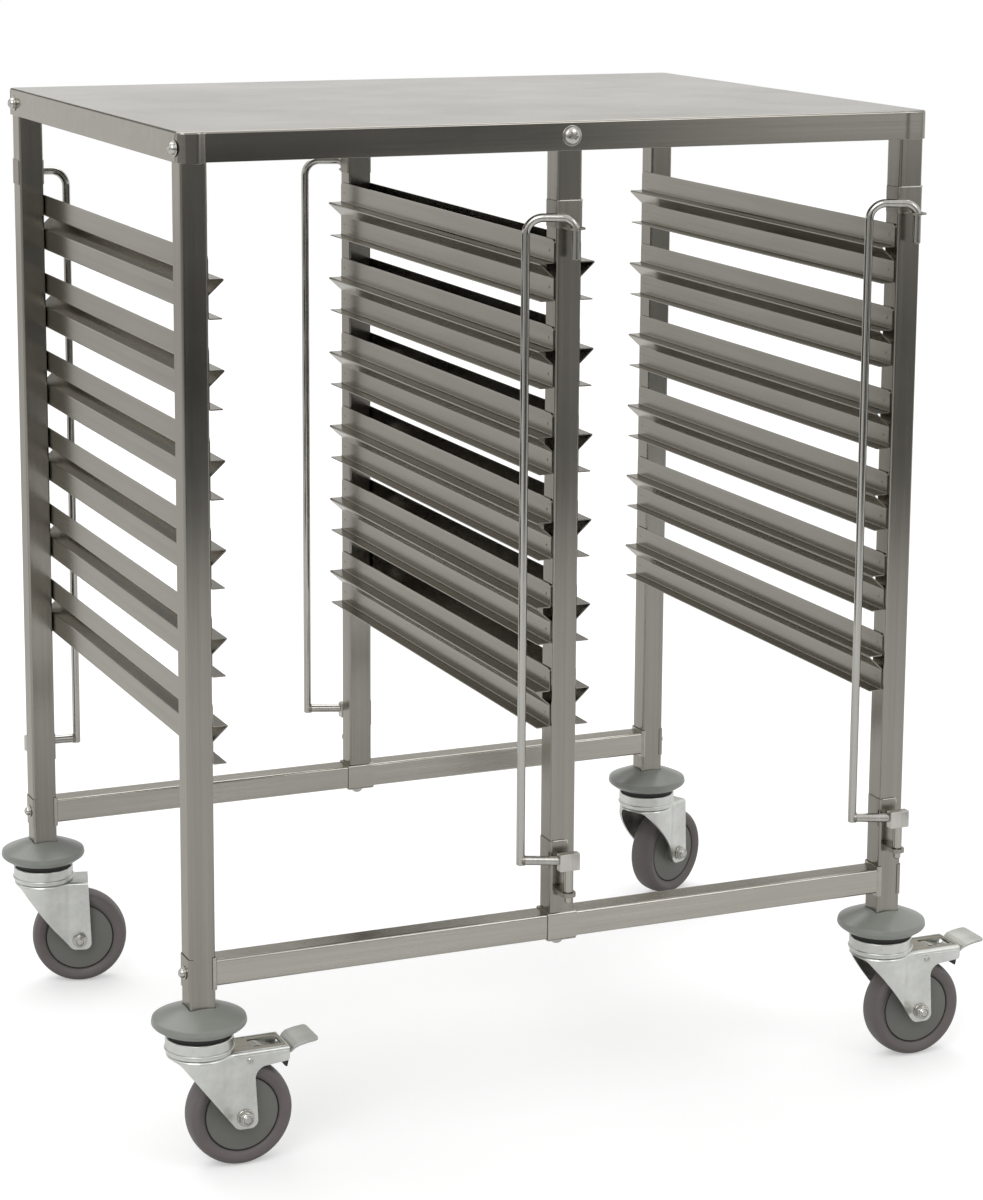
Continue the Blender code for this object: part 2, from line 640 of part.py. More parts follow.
def brake_pedal():
    """Pedal lever about its pivot: trunnion, hub, lever, upturned pedal and the shoe over the tyre."""
    knee = BRAKE_REACH - BRAKE_PIVOT_X + PEDAL_KNEE
    half = PEDAL_SHEET / 2
    path = [(0.0, half), (knee, half), (knee + PEDAL_REACH, half + PEDAL_RISE)]
    lever = side_prism(sheet_outline(path, PEDAL_SHEET), PEDAL_WIDTH / 2)
    hub = cross_pin(BRAKE_HUB_DIAMETER / 2, CHEEK_INNER - TURN_GAP)
    trunnion = cross_pin(BRAKE_PIVOT_DIAMETER / 2, FORK_WIDTH / 2 - SEAT_GAP)
    shoe_end = knee - PEDAL_KNEE
    shoe = [(shoe_end - SHOE_LENGTH, 0.0), (shoe_end, 0.0), (shoe_end, -SHOE_DEPTH)]
    return combine(lever, [hub, trunnion, side_prism(shoe, WHEEL_WIDTH / 2)], "UNION")


def add_frame(root):
    place("worktop", worktop(), "brushed_stainless", root)
    gated = ("front_right", "back_left")
    for corner, (x, y) in LEG_PLACES.items():
        mesh = leg(corner in gated, y > 0, x < 0)
        place("leg_" + corner, mesh, "brushed_stainless", root, (x, y, 0))
    for side, y in (("front", -POST_Y), ("back", POST_Y)):
        place("mid_post_" + side, mid_post(y > 0), "brushed_stainless", root, (0, y, 0))
        place("rail_" + side, rail(), "brushed_stainless", root, (0, y, 0))


def add_runners(root):
    """Each row lies on the inner faces of its posts and opens towards its column."""
    shape = runner()
    seat = HALF_TUBE + SEAT_GAP
    rows = (("left", -POST_PITCH + seat, 0), ("mid_left", -seat, 180))
    rows += (("mid_right", seat, 0), ("right", POST_PITCH - seat, 180))
    for row, x, turn in rows:
        for level in range(LEVELS):
            z = TOP_LEDGE_HEIGHT - level * LEVEL_PITCH
            place(f"runner_{row}_{level + 1}", shape, "brushed_stainless", root, (x, 0, z), turn)


def add_gates(root):
    """Front gates close to -X. The back left gate closes to +X, and the back right one stands open."""
    shape = gate()
    axis_y = FRAME_DEPTH / 2 + GATE_AXIS_OFFSET
    places = {"front_left": (0.0, -axis_y, 0), "front_right": (POST_PITCH, -axis_y, 0)}
    places.update(back_left=(-POST_PITCH, axis_y, 0), back_right=(0.0, axis_y, 0))
    for name, place_of_axis in places.items():
        place("gate_" + name, shape, "polished_rod", root, place_of_axis, GATE_YAWS[name])


def add_castors(root):
    disc, head, tread, bolt = bumper(), swivel_head(), wheel(), axle()
    plain_fork, braked_fork, pedal = fork(False), fork(True), brake_pedal()
    for corner, (x, y) in LEG_PLACES.items():
        braked = corner in BRAKED
        place("bumper_" + corner, disc, "bumper_rubber", root, (x, y, 0))
        place("swivel_head_" + corner, head, "zinc_plate", root, (x, y, 0))
        swivel = pivot("castor_" + corner, root, (x, y, 0), CASTOR_YAWS[corner])
        place("fork_" + corner, braked_fork if braked else plain_fork, "zinc_plate", swivel)
        centre = (CASTOR_TRAIL, 0, WHEEL_RADIUS)
        place("axle_" + corner, bolt, "zinc_plate", swivel, centre)
        place("wheel_" + corner, tread, "tyre_rubber", swivel, centre)
        if braked:
            pivot_point = (BRAKE_PIVOT_X, 0, BRAKE_PIVOT_Z)
            place("brake_pedal_" + corner, pedal, "zinc_plate", swivel, pivot_point)


def centre_over_origin(root):
    """Moves the whole rack so that its footprint is centred on the origin."""
    bpy.context.view_layer.update()
    corners = []
    for piece in bpy.context.scene.objects:
        if piece.type == "MESH":
            corners += [piece.matrix_world @ vertex.co for vertex in piece.data.vertices]
    for axis in (0, 1):
        values = [corner[axis] for corner in corners]
        root.location[axis] = -(min(values) + max(values)) / 2


def main():
    clear_scene()
    root = pivot("rack", None)
    add_frame(root)
    add_runners(root)
    add_gates(root)
    add_castors(root)
    centre_over_origin(root)


main()
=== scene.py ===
"""Looks of a two-column tray rack on castors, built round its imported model.

Metres, +Z up, front to -Y. Each piece rides on the CAD body that carries it.
"""

import json
import math

import bmesh
import bpy
from mathutils import Matrix, Vector


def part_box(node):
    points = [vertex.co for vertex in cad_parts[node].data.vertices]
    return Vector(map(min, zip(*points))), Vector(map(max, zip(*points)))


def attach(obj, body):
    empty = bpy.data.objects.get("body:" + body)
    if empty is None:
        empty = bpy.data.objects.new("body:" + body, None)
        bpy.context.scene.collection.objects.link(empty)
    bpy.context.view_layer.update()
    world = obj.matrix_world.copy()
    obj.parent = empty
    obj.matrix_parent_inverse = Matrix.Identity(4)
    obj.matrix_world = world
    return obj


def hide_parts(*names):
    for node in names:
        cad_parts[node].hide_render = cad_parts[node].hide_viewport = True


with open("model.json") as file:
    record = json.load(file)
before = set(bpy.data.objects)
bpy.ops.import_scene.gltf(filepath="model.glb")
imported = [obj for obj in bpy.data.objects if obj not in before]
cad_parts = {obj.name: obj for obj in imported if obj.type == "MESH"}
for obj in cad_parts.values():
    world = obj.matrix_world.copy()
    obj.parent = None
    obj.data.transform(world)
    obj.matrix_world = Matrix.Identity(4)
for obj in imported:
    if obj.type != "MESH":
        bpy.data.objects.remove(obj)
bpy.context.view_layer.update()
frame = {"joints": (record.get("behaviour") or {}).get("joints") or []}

# Square tube, sheet and brackets
TUBE = 0.025
HALF_TUBE = TUBE / 2
TUBE_WALL = 0.0012
TUBE_CORNER = 0.0025
SEAT_GAP = 0.0003
BRACKET_SHEET = 0.0012
RAIL_Z = 0.190
CLAMP_HEIGHT = 0.031
CLAMP_GRIP = 0.0035
SADDLE_WIDTH = 0.030
SADDLE_DROP = 0.0252
POST_PITCH = 0.359
POST_Y = 0.2675

# Worktop
TOP_SHEET = 0.0015
TOP_FLANGE = 0.027
TOP_CORNER = 0.0075
TOP_FOLD = 0.0022
GROUND_RISE = 0.0018
GROUND_DROP = 0.0011
GROUND_STATIONS = (0.0115, 0.015, 0.0175, 0.0195, 0.021, 0.0225, 0.024, 0.026)

# Runner
RUNNER_SHEET = 0.001
RUNNER_UPPER_WEB = 0.021
RUNNER_LEDGE = 0.015
RUNNER_NOSE = 0.0012
RUNNER_SLOPE_DROP = 0.0145
RUNNER_LOWER_WEB = 0.0205
RUNNER_LIP = 0.0135
RUNNER_BEND = 0.0011
RUNNER_END_ROUND = 0.004
LEVELS = 6

# Rod gate
ROD_RADIUS = 0.004
GATE_AXIS_OFFSET = 0.0135
GATE_ARM = 0.0455
GATE_ARM_Z = 0.8687
GATE_TOP_BEND = 0.016
GATE_HOOK_BEND = 0.012
GATE_HOOK_DROP = 0.0385
GATE_BAR_Z = 0.2585
GATE_BAR_RADIUS = 0.0045
BLOCK = (0.0205, 0.009, 0.0165)
BLOCK_SINK = 0.0008
BLOCK_TURN = 24.0
PIN_RADIUS = 0.0045
PIN_LENGTH = 0.0222
TIP_RADIUS = 0.00375
TIP_LENGTH = 0.0108
UPPER_TAB_Z = 0.8599
LOWER_TAB_Z = 0.2277

# Castor, from its swivel axis and the floor
WHEEL_RADIUS = 0.050
WHEEL_WIDTH = 0.030
HUB_RADIUS = 0.0355
HUB_FACE = 0.0113
TRAIL = 0.037
FORK_SHEET = 0.0025
FORK_HALF = 0.021
CROWN_Z = 0.1132
FORK_FOLD = 0.003
FORK_CREASE = 0.027
FORK_TOE_DROP = 0.0112
FORK_HEEL = 0.047
LEADING_EDGE = 0.026
RING_RADIUS = 0.0315
RING_TOP = 0.1292
RING_BEAD_Z = 0.1178
BUMPER_Z = 0.1358
BUMPER_RADIUS = 0.044
BRAKE_REACH = 0.0805
BRAKE_SKIRT = 0.0155
BRAKE_NOTCH = 0.0115
CASTOR_YAWS = {"front_left": 0.0, "front_right": 0.0, "back_left": -15.0, "back_right": 25.0}
GATE_YAWS = {"front_left": 156.0, "front_right": 156.0, "back_left": -6.0, "back_right": 160.0}
BRAKED = ("front_left", "front_right")
CORNERS = tuple(CASTOR_YAWS)

JOINTS = {joint["name"]: Vector(joint["pos_m"]) for joint in frame["joints"]}
low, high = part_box("worktop")
MIDDLE = Vector(((low.x + high.x) / 2, (low.y + high.y) / 2, 0))
TOP_Z = high.z
TOP_SIZE = (high.x - low.x, high.y - low.y)


# Mesh tools

def to_mesh(form):
    bmesh.ops.recalc_face_normals(form, faces=form.faces)
    mesh = bpy.data.meshes.new("form")
    form.to_mesh(mesh)
    form.free()
    return mesh


def loft(loops, ring=False):
    """A closed form through loops of equal length, capped at its ends or joined end to end."""
    form = bmesh.new()
    rows = [[form.verts.new(point) for point in loop] for loop in loops]
    pairs = list(zip(rows, rows[1:]))
    if ring:
        pairs.append((rows[-1], rows[0]))
    else:
        form.faces.new(rows[0])
        form.faces.new(rows[-1])
    for near, far in pairs:
        for here in range(len(near)):
            there = (here + 1) % len(near)
            form.faces.new((near[here], near[there], far[there], far[here]))
    return to_mesh(form)


def lathe(profile, sides=48, ring=False):
    """A profile of radius and height turned about Z. A point at radius 0 closes the form there."""
    form = bmesh.new()
    rows = []
    for radius, z in profile:
        if radius <= 0:
            rows.append([form.verts.new((0, 0, z))] * sides)
            continue
        turn = [2 * math.pi * (step + 0.5) / sides for step in range(sides)]
        rows.append([form.verts.new((radius * math.cos(a), radius * math.sin(a), z)) for a in turn])
    pairs = list(zip(rows, rows[1:]))
    if ring:
        pairs.append((rows[-1], rows[0]))
    else:
        for row in (rows[0], rows[-1]):
            if row[0] is not row[1]:
                form.faces.new(row)
    for near, far in pairs:
        for here in range(sides):
            there = (here + 1) % sides
            corners = [near[here], near[there], far[there], far[here]]
            form.faces.new(list(dict.fromkeys(corners)))
    return to_mesh(form)


def sweep(path, radius, sides=16):
    """A round rod along a path in space. The radius may change from point to point."""
    points = [Vector(point) for point in path]
    radii = radius if isinstance(radius, list) else [radius] * len(points)
    loops = []
    side = None
    for index, point in enumerate(points):
        along = (points[min(index + 1, len(points) - 1)] - points[max(index - 1, 0)]).normalized()
        if side is None:
            side = along.orthogonal().normalized()
        side = (side - along * side.dot(along)).normalized()
        other = along.cross(side)
        loop = []
        for step in range(sides):
            angle = 2 * math.pi * step / sides
            loop.append(point + radii[index] * (side * math.cos(angle) + other * math.sin(angle)))
        loops.append(loop)
    return loft(loops)


def arc(centre, radius, first, last, steps):
    angles = [math.radians(first + (last - first) * step / steps) for step in range(steps + 1)]
    return [(centre[0] + radius * math.cos(a), centre[1] + radius * math.sin(a)) for a in angles]


def fillet(path, radius, steps=5, closed=False):
    """A path in a plane with its corners rounded. The radius may be one number or one for each point."""
    count = len(path)
    radii = radius if isinstance(radius, (list, tuple)) else [radius] * count
    points = []
    for index, here in enumerate(path):
        here = Vector(here)
        inner = closed or 0 < index < count - 1
        if not inner or radii[index] <= 0:
            points.append(tuple(here))
            continue
        back = Vector(path[index - 1]) - here
        ahead = Vector(path[(index + 1) % count]) - here
        u, v = back.normalized(), ahead.normalized()
        half = math.acos(max(-1.0, min(1.0, u.dot(v)))) / 2
        if half > math.pi / 2 - 0.01:
            points.append(tuple(here))
            continue
        reach = min(radii[index] / math.tan(half), 0.49 * back.length, 0.49 * ahead.length)
        size = reach * math.tan(half)
        centre = here + (u + v).normalized() * size / math.sin(half)
        start, end = here + u * reach - centre, here + v * reach - centre
        turn = start.angle_signed(end)
        for step in range(steps + 1):
            a = -turn * step / steps
            points.append((centre.x + start.x * math.cos(a) - start.y * math.sin(a),
                           centre.y + start.x * math.sin(a) + start.y * math.cos(a)))
    return points


def rounded_rectangle(width, depth, radius, steps=6):
    w, d = width / 2, depth / 2
    return fillet([(w, d), (-w, d), (-w, -d), (w, -d)], radius, steps, closed=True)


def sheet_outline(path, thickness):
    """The outline of a folded sheet whose left side follows the path."""
    def offset(index):
        here = Vector(path[index])
        before = (here - Vector(path[index - 1])).normalized() if index else None
        after = (Vector(path[index + 1]) - here).normalized() if index + 1 < len(path) else None
        before = before or after
        after = after or before
        mitre = (before + after).normalized()
        right = Vector((mitre.y, -mitre.x))
        return tuple(here + right * thickness / mitre.dot(before))

    return list(path) + [offset(index) for index in reversed(range(len(path)))]


def prism(outline, bottom, top):
    return loft([[(x, y, z) for x, y in outline] for z in (bottom, top)])


def side_prism(outline, near, far):
    """An outline in X and Z, extruded along Y."""
    return loft([[(x, y, z) for x, z in outline] for y in (near, far)])


def combine(base, tools, operation):
    carrier = bpy.data.objects.new("carrier", base)
    bpy.context.scene.collection.objects.link(carrier)
    helpers = []
    for tool in tools:
        helper = bpy.data.objects.new("helper", tool)
        bpy.context.scene.collection.objects.link(helper)
        helpers.append(helper)
        modifier = carrier.modifiers.new("combine", "BOOLEAN")
        modifier.operation = operation
        modifier.solver = "EXACT"
        modifier.object = helper
    graph = bpy.context.evaluated_depsgraph_get()
    result = bpy.data.meshes.new_from_object(carrier.evaluated_get(graph))
    for item in [carrier, *helpers]:
        bpy.data.objects.remove(item, do_unlink=True)
    return result


def joined(meshes):
    """One mesh that holds several closed forms."""
    form = bmesh.new()
    for mesh in meshes:
        form.from_mesh(mesh)
    result = bpy.data.meshes.new("form")
    form.to_mesh(result)
    form.free()
    return result


def moved(mesh, x=0.0, y=0.0, z=0.0):
    mesh.transform(Matrix.Translation((x, y, z)))
    return mesh


def turned(mesh, axis, degrees):
    mesh.transform(Matrix.Rotation(math.radians(degrees), 4, axis))
    return mesh


def bevelled(mesh, width, segments=2, angle=30.0):
    """The mesh with its sharp edges rounded off."""
    form = bmesh.new()
    form.from_mesh(mesh)
    bmesh.ops.remove_doubles(form, verts=form.verts, dist=0.000001)
    bmesh.ops.dissolve_limit(form, angle_limit=math.radians(0.5), verts=form.verts, edges=form.edges)
    limit = math.radians(angle)
    edges = [edge for edge in form.edges if edge.is_manifold and edge.calc_face_angle(0.0) > limit]
    bmesh.ops.bevel(form, geom=edges, offset=width, segments=segments, profile=0.5, affect="EDGES",
                    clamp_overlap=True)
    return to_mesh(form)


def lay_grain(mesh, grain):
    """A UV map whose V runs along the grain's axis, so that gloss spreads across the grain."""
    along = Vector([1.0 if axis == grain else 0.0 for axis in range(3)])
    layer = mesh.uv_layers.new(name="grain")
    for face in mesh.polygons:
        across = face.normal.cross(along)
        if across.length < 0.1:
            across = along.orthogonal()
        across.normalize()
        up = across.cross(face.normal)
        for loop in face.loop_indices:
            point = mesh.vertices[mesh.loops[loop].vertex_index].co
            layer.data[loop].uv = (point.dot(across), point.dot(up))


def place(name, mesh, material, body, nodes=(), matrix=None, sharp=38.0):
    """Adds a piece that rides on a body and may stand for CAD nodes."""
    piece = bpy.data.objects.new(name, mesh)
    bpy.context.scene.collection.objects.link(piece)
    if matrix is not None:
        piece.matrix_world = matrix
    if not mesh.materials:
        mesh.materials.append(material)
        mesh.shade_smooth()
        mesh.set_sharp_from_angle(angle=math.radians(sharp))
        if material in GRAIN:
            lay_grain(mesh, GRAIN[material])
    flatten = piece.modifiers.new("flat_faces", "WEIGHTED_NORMAL")
    flatten.keep_sharp = True
    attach(piece, body)
    if nodes:
        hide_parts(*nodes)
    return piece


def at(point, yaw=0.0):
    return Matrix.Translation(point) @ Matrix.Rotation(math.radians(yaw), 4, "Z")


# Materials

class Paint:
    """A node material under construction."""

    def __init__(self, name, **constants):
        self.material = bpy.data.materials.new(name)
        self.material.use_nodes = True
        self.tree = self.material.node_tree
        self.shader = self.tree.nodes["Principled BSDF"]
        for socket, value in constants.items():
            self.shader.inputs[socket.replace("_", " ")].default_value = value
        self.place = self.tree.nodes.new("ShaderNodeTexCoord").outputs["Object"]

    def link(self, output, node_input):
        self.tree.links.new(output, node_input)

    def noise(self, scale, detail=3.0, roughness=0.55):
        """Noise with its own scale along each axis."""
        stretch = self.tree.nodes.new("ShaderNodeVectorMath")
        stretch.operation = "MULTIPLY"
        stretch.inputs[1].default_value = scale
        self.link(self.place, stretch.inputs[0])
        node = self.tree.nodes.new("ShaderNodeTexNoise")
        node.inputs["Scale"].default_value = 1.0
        node.inputs["Detail"].default_value = detail
        node.inputs["Roughness"].default_value = roughness
        self.link(stretch.outputs[0], node.inputs["Vector"])
        return node.outputs["Fac"]

    def mixed(self, first, second, share):
        """The average of two values, with a share of the second."""
        node = self.tree.nodes.new("ShaderNodeMix")
        node.inputs["Factor"].default_value = share
        self.link(first, node.inputs["A"])
        self.link(second, node.inputs["B"])
        return node.outputs["Result"]

    def spread(self, value, low, high, start=0.3, end=0.7):
        """The value's middle range, spread from low to high."""
        node = self.tree.nodes.new("ShaderNodeMapRange")
        for socket, number in (("From Min", start), ("From Max", end), ("To Min", low), ("To Max", high)):
            node.inputs[socket].default_value = number
        self.link(value, node.inputs["Value"])
        return node.outputs["Result"]

    def tint(self, value, dark, light, start=0.3, end=0.7):
        node = self.tree.nodes.new("ShaderNodeValToRGB")
        first, last = node.color_ramp.elements
        first.position, first.color = start, (*dark, 1.0)
        last.position, last.color = end, (*light, 1.0)
        self.link(value, node.inputs["Fac"])
        self.link(node.outputs["Color"], self.shader.inputs["Base Color"])

    def rough(self, value, low, high):
        self.link(self.spread(value, low, high), self.shader.inputs["Roughness"])

    def bump(self, value, strength, depth):
        node = self.tree.nodes.new("ShaderNodeBump")
        node.inputs["Strength"].default_value = strength
        node.inputs["Distance"].default_value = depth
        self.link(value, node.inputs["Height"])
        self.link(node.outputs["Normal"], self.shader.inputs["Normal"])


def stretched(grain, along, across):
    return tuple(along if axis == grain else across for axis in range(3))


def brushed(name, grain, dark, light, smooth, dull, stretch=0.0):
    """Steel brushed along one axis: fine scratches, broad bands and faint smudges."""
    paint = Paint(name, Metallic=1.0, Anisotropic=stretch)
    paint.shader.inputs["Specular Tint"].default_value = (0.92, 0.905, 0.87, 1.0)
    fine = paint.noise(stretched(grain, 9.0, 1500.0), 2.0)
    bands = paint.noise(stretched(grain, 1.6, 95.0), 4.0)
    smudge = paint.noise((7.0, 7.0, 7.0), 3.0)
    streaks = paint.noise(stretched(grain, 3.0, 420.0), 2.0)
    tone = paint.mixed(paint.mixed(bands, streaks, 0.5), smudge, 0.25)
    paint.tint(tone, dark, light, 0.34, 0.66)
    paint.rough(paint.mixed(fine, smudge, 0.5), smooth, dull)
    paint.bump(paint.mixed(fine, bands, 0.3), 0.06, 0.0002)
    if stretch:
        across = paint.tree.nodes.new("ShaderNodeTangent")
        across.direction_type = "UV_MAP"
        across.uv_map = "grain"
        paint.link(across.outputs["Tangent"], paint.shader.inputs["Tangent"])
    return paint.material


STEEL_DARK = (0.272, 0.258, 0.230)
STEEL_LIGHT = (0.344, 0.328, 0.294)
STEEL = [brushed("brushed_steel_" + "xyz"[axis], axis, STEEL_DARK, STEEL_LIGHT, 0.17, 0.25, 0.5) for axis in range(3)]
# Rails and saddles: the frame's steel painted lighter, a lit copy that stands for the brighter sheen they catch from
# above.
LIT_RAIL_STEEL = brushed("rail_steel_painted_lighter", 0, (0.410, 0.390, 0.350), (0.500, 0.478, 0.432), 0.20, 0.30, 0.6)
TOP_STEEL = brushed("worktop_steel", 0, (0.285, 0.272, 0.246), (0.350, 0.335, 0.304), 0.12, 0.19, 0.4)
GRAIN = {material: axis for axis, material in enumerate(STEEL)}
GRAIN[LIT_RAIL_STEEL] = GRAIN[TOP_STEEL] = 0
BRACKET_STEEL = brushed("bracket_steel", 2, (0.290, 0.275, 0.245), (0.365, 0.348, 0.312), 0.30, 0.42, 0.4)
GRAIN[BRACKET_STEEL] = 2
ROD_STEEL = brushed("drawn_rod", 2, (0.41, 0.40, 0.37), (0.54, 0.53, 0.50), 0.11, 0.20)
BLOCK_STEEL = brushed("block_steel", 2, (0.50, 0.485, 0.45), (0.64, 0.62, 0.58), 0.24, 0.36)
# Pin steel darker than the rod: partly the pin's own tone, partly painted shade for the pin under the block.
SHADED_PIN_STEEL = brushed("pin_steel_with_painted_shade", 2, (0.36, 0.345, 0.31), (0.50, 0.48, 0.44), 0.14, 0.24)
BOLT_STEEL = brushed("bolt_steel", 2, (0.46, 0.45, 0.42), (0.58, 0.57, 0.54), 0.16, 0.26)


def zinc_plate(name, dark, light, smooth, dull):
    paint = Paint(name, Metallic=1.0)
    mottle = paint.noise((150.0, 150.0, 150.0), 3.0)
    cloud = paint.noise((34.0, 34.0, 34.0), 3.0)
    paint.tint(paint.mixed(mottle, cloud, 0.7), dark, light, 0.36, 0.64)
    paint.rough(paint.mixed(cloud, mottle, 0.4), smooth, dull)
    paint.bump(mottle, 0.05, 0.0003)
    return paint.material


def moulded(name, dark, light, smooth, dull, grain=900.0, strength=0.06):
    """Moulded rubber or plastic with a fine surface and faint scuffs."""
    paint = Paint(name)
    fine = paint.noise((grain, grain, grain), 2.0)
    cloud = paint.noise((35.0, 35.0, 35.0), 4.0)
    paint.tint(paint.mixed(cloud, fine, 0.3), dark, light)
    paint.rough(cloud, smooth, dull)
    paint.bump(paint.mixed(fine, cloud, 0.2), strength, 0.0003)
    return paint.material


ZINC = zinc_plate("zinc_plate", (0.60, 0.61, 0.575), (0.74, 0.75, 0.715), 0.24, 0.38)
DULL_ZINC = zinc_plate("dull_zinc", (0.40, 0.405, 0.38), (0.53, 0.535, 0.50), 0.34, 0.50)
TYRE = moulded("tyre_rubber", (0.105, 0.091, 0.088), (0.137, 0.120, 0.116), 0.42, 0.58)
HUB = moulded("hub_plastic", (0.126, 0.126, 0.112), (0.149, 0.149, 0.134), 0.45, 0.6)
BUMPER = moulded("bumper_rubber", (0.215, 0.224, 0.203), (0.250, 0.259, 0.236), 0.27, 0.38)
# Black rubber for the seal and brake shoe, also used as painted shade at the bottom of the hub's groove.
BLACK = moulded("black_rubber_and_groove_shade", (0.012, 0.012, 0.012), (0.022, 0.022, 0.021), 0.5, 0.7)
BRAKE_STEEL = brushed("brake_plate_steel", 0, (0.33, 0.310, 0.262), (0.45, 0.425, 0.372), 0.26, 0.42)
WELD = brushed("weld_steel", 0, (0.20, 0.18, 0.15), (0.42, 0.40, 0.36), 0.25, 0.45)


# Worktop

def worktop():
    width, depth = TOP_SIZE

    def smooth(value):
        value = min(max(value, 0.0), 1.0)
        return value * value * (3 - 2 * value)

    def level(inset, z):
        w, d = width / 2 - inset, depth / 2 - inset
        outline = rounded_rectangle(2 * w, 2 * d, max(TOP_CORNER - inset, 0.0012), 10)
        ground = [(-w + reach, -d) for reach in GROUND_STATIONS]
        outline[33:33] = ground + [(-x, y) for x, y in reversed(ground)]
        loop = []
        for x, y in outline:
            reach = w - abs(x)
            proud = (0.2 + 0.8 * smooth(reach / 0.016)) * (1.0 if x < 0 else 0.2)
            proud *= smooth((GROUND_STATIONS[-1] - reach) / 0.0075) * smooth((TOP_CORNER - d - y) / TOP_CORNER)
            loop.append((x, y - GROUND_RISE * proud, z - (GROUND_DROP * proud if z < TOP_Z - 0.01 else 0.0)))
        return loop

    fold = arc((TOP_FOLD, TOP_Z - TOP_FOLD), TOP_FOLD, 90, 180, 6)
    loops = [level(TOP_FOLD + 0.003, TOP_Z)] + [level(inset, z) for inset, z in fold]
    bottom = TOP_Z - TOP_FLANGE
    loops += [level(0.0, bottom + 0.0003), level(0.0003, bottom)]
    loops += [level(TOP_SHEET - 0.0003, bottom), level(TOP_SHEET, bottom + 0.0003)]
    loops.append(level(TOP_SHEET, TOP_Z - TOP_SHEET))
    return loft(loops)


place("worktop_skin", moved(worktop(), MIDDLE.x, MIDDLE.y), TOP_STEEL, "frame", ["worktop"])


def worktop_seams():
    """Ground weld seams on the end flanges, beside each corner."""
    w, d = TOP_SIZE[0] / 2, TOP_SIZE[1] / 2 - TOP_CORNER
    seams = []
    for x in (-w, w):
        for y in (-d, d):
            seams.append(sweep([(x, y, TOP_Z - TOP_FLANGE + 0.0006), (x, y, TOP_Z - 0.0026)], 0.00025, 8))
    return joined(seams)


place("worktop_seams", moved(worktop_seams(), MIDDLE.x, MIDDLE.y), WELD, "frame")


# Legs, mid posts and rails

def square_tube(bottom, top):
    """A square tube along Z, open at both ends."""
    outer = rounded_rectangle(TUBE, TUBE, TUBE_CORNER, 6)
    bore = TUBE - 2 * TUBE_WALL
    inner = rounded_rectangle(bore, bore, TUBE_CORNER - TUBE_WALL, 6)
    levels = ((outer, bottom), (outer, top), (inner, top), (inner, bottom))
    return loft([[(x, y, z) for x, y in outline] for outline, z in levels], ring=True)


def channel(inside, reach, bottom, top):
    """A sheet channel round a post, open to -X."""
    half = inside / 2
    path = [(half - reach, -half), (half, -half), (half, half), (half - reach, half)]
    return prism(sheet_outline(fillet(path, TUBE_CORNER * 0.8, 5), BRACKET_SHEET), bottom, top)


def clamp(inside):
    return bevelled(channel(inside, CLAMP_GRIP, RAIL_Z - CLAMP_HEIGHT / 2, RAIL_Z + CLAMP_HEIGHT / 2), 0.00025)


def ear(radius, hole, bottom, top):
    """A sheet ear on the front of a post, with a round end and a hole on the gate's axis."""
    root = -HALF_TUBE + TUBE_WALL / 2
    end = (0.0, -HALF_TUBE - GATE_AXIS_OFFSET)
    outline = [(radius, root), (-radius, root)] + arc(end, radius, 180, 360, 20)
    bore = moved(lathe([(hole, bottom - radius), (hole, top + radius)], 24), y=end[1])
    return bevelled(combine(prism(outline, bottom, top), [bore], "DIFFERENCE"), 0.0002)


def strap(bottom, top, front_bottom, front_share):
    """A sheet strap welded on the left side of a post and over part of its front."""
    half = HALF_TUBE - 0.0002
    end = -half + front_share * TUBE
    side = [(-half, half - TUBE_CORNER), (-half, -half + TUBE_CORNER + 0.0002)]
    front = [(-half, -half + TUBE_CORNER + 0.0001), (-half, -half), (end, -half)]
    side_sheet = prism(sheet_outline(side, BRACKET_SHEET)[::-1], bottom, top)
    front_path = fillet(front, TUBE_CORNER * 0.8, 5)
    front_sheet = prism(sheet_outline(front_path, BRACKET_SHEET), front_bottom, top)
    return [bevelled(side_sheet, 0.0003), bevelled(front_sheet, 0.0005)]


def bead(points, radius, sides=10):
    """A short rippled weld bead."""
    count = len(points)
    radii = []
    for index in range(count):
        swell = math.sin(math.pi * (index + 0.5) / count) ** 0.5
        radii.append(radius * swell * (1.0 + 0.12 * math.cos(index * 2.4)))
    return sweep(points, radii, sides)


def line(start, end, steps):
    start, end = Vector(start), Vector(end)
    return [start.lerp(end, step / steps) for step in range(steps + 1)]


def gate_brackets():
    """Upper collar and its ear, lower strap, and the thick ear under the gate's pin."""
    upper_bottom = UPPER_TAB_Z - 0.0016
    upper = turned(channel(TUBE - 0.0006, TUBE - TUBE_CORNER, upper_bottom, upper_bottom + 0.025), "Z", -90)
    lower_top = GATE_BAR_Z + 0.0165
    pieces = [bevelled(upper, 0.0005)]
    pieces.append(ear(0.009, ROD_RADIUS + 0.0012, upper_bottom, UPPER_TAB_Z))
    pieces += strap(lower_top - 0.028, lower_top, lower_top - 0.011, 0.68)
    pieces.append(ear(0.0072, TIP_RADIUS + 0.0004, LOWER_TAB_Z - 0.004, LOWER_TAB_Z))
    return pieces


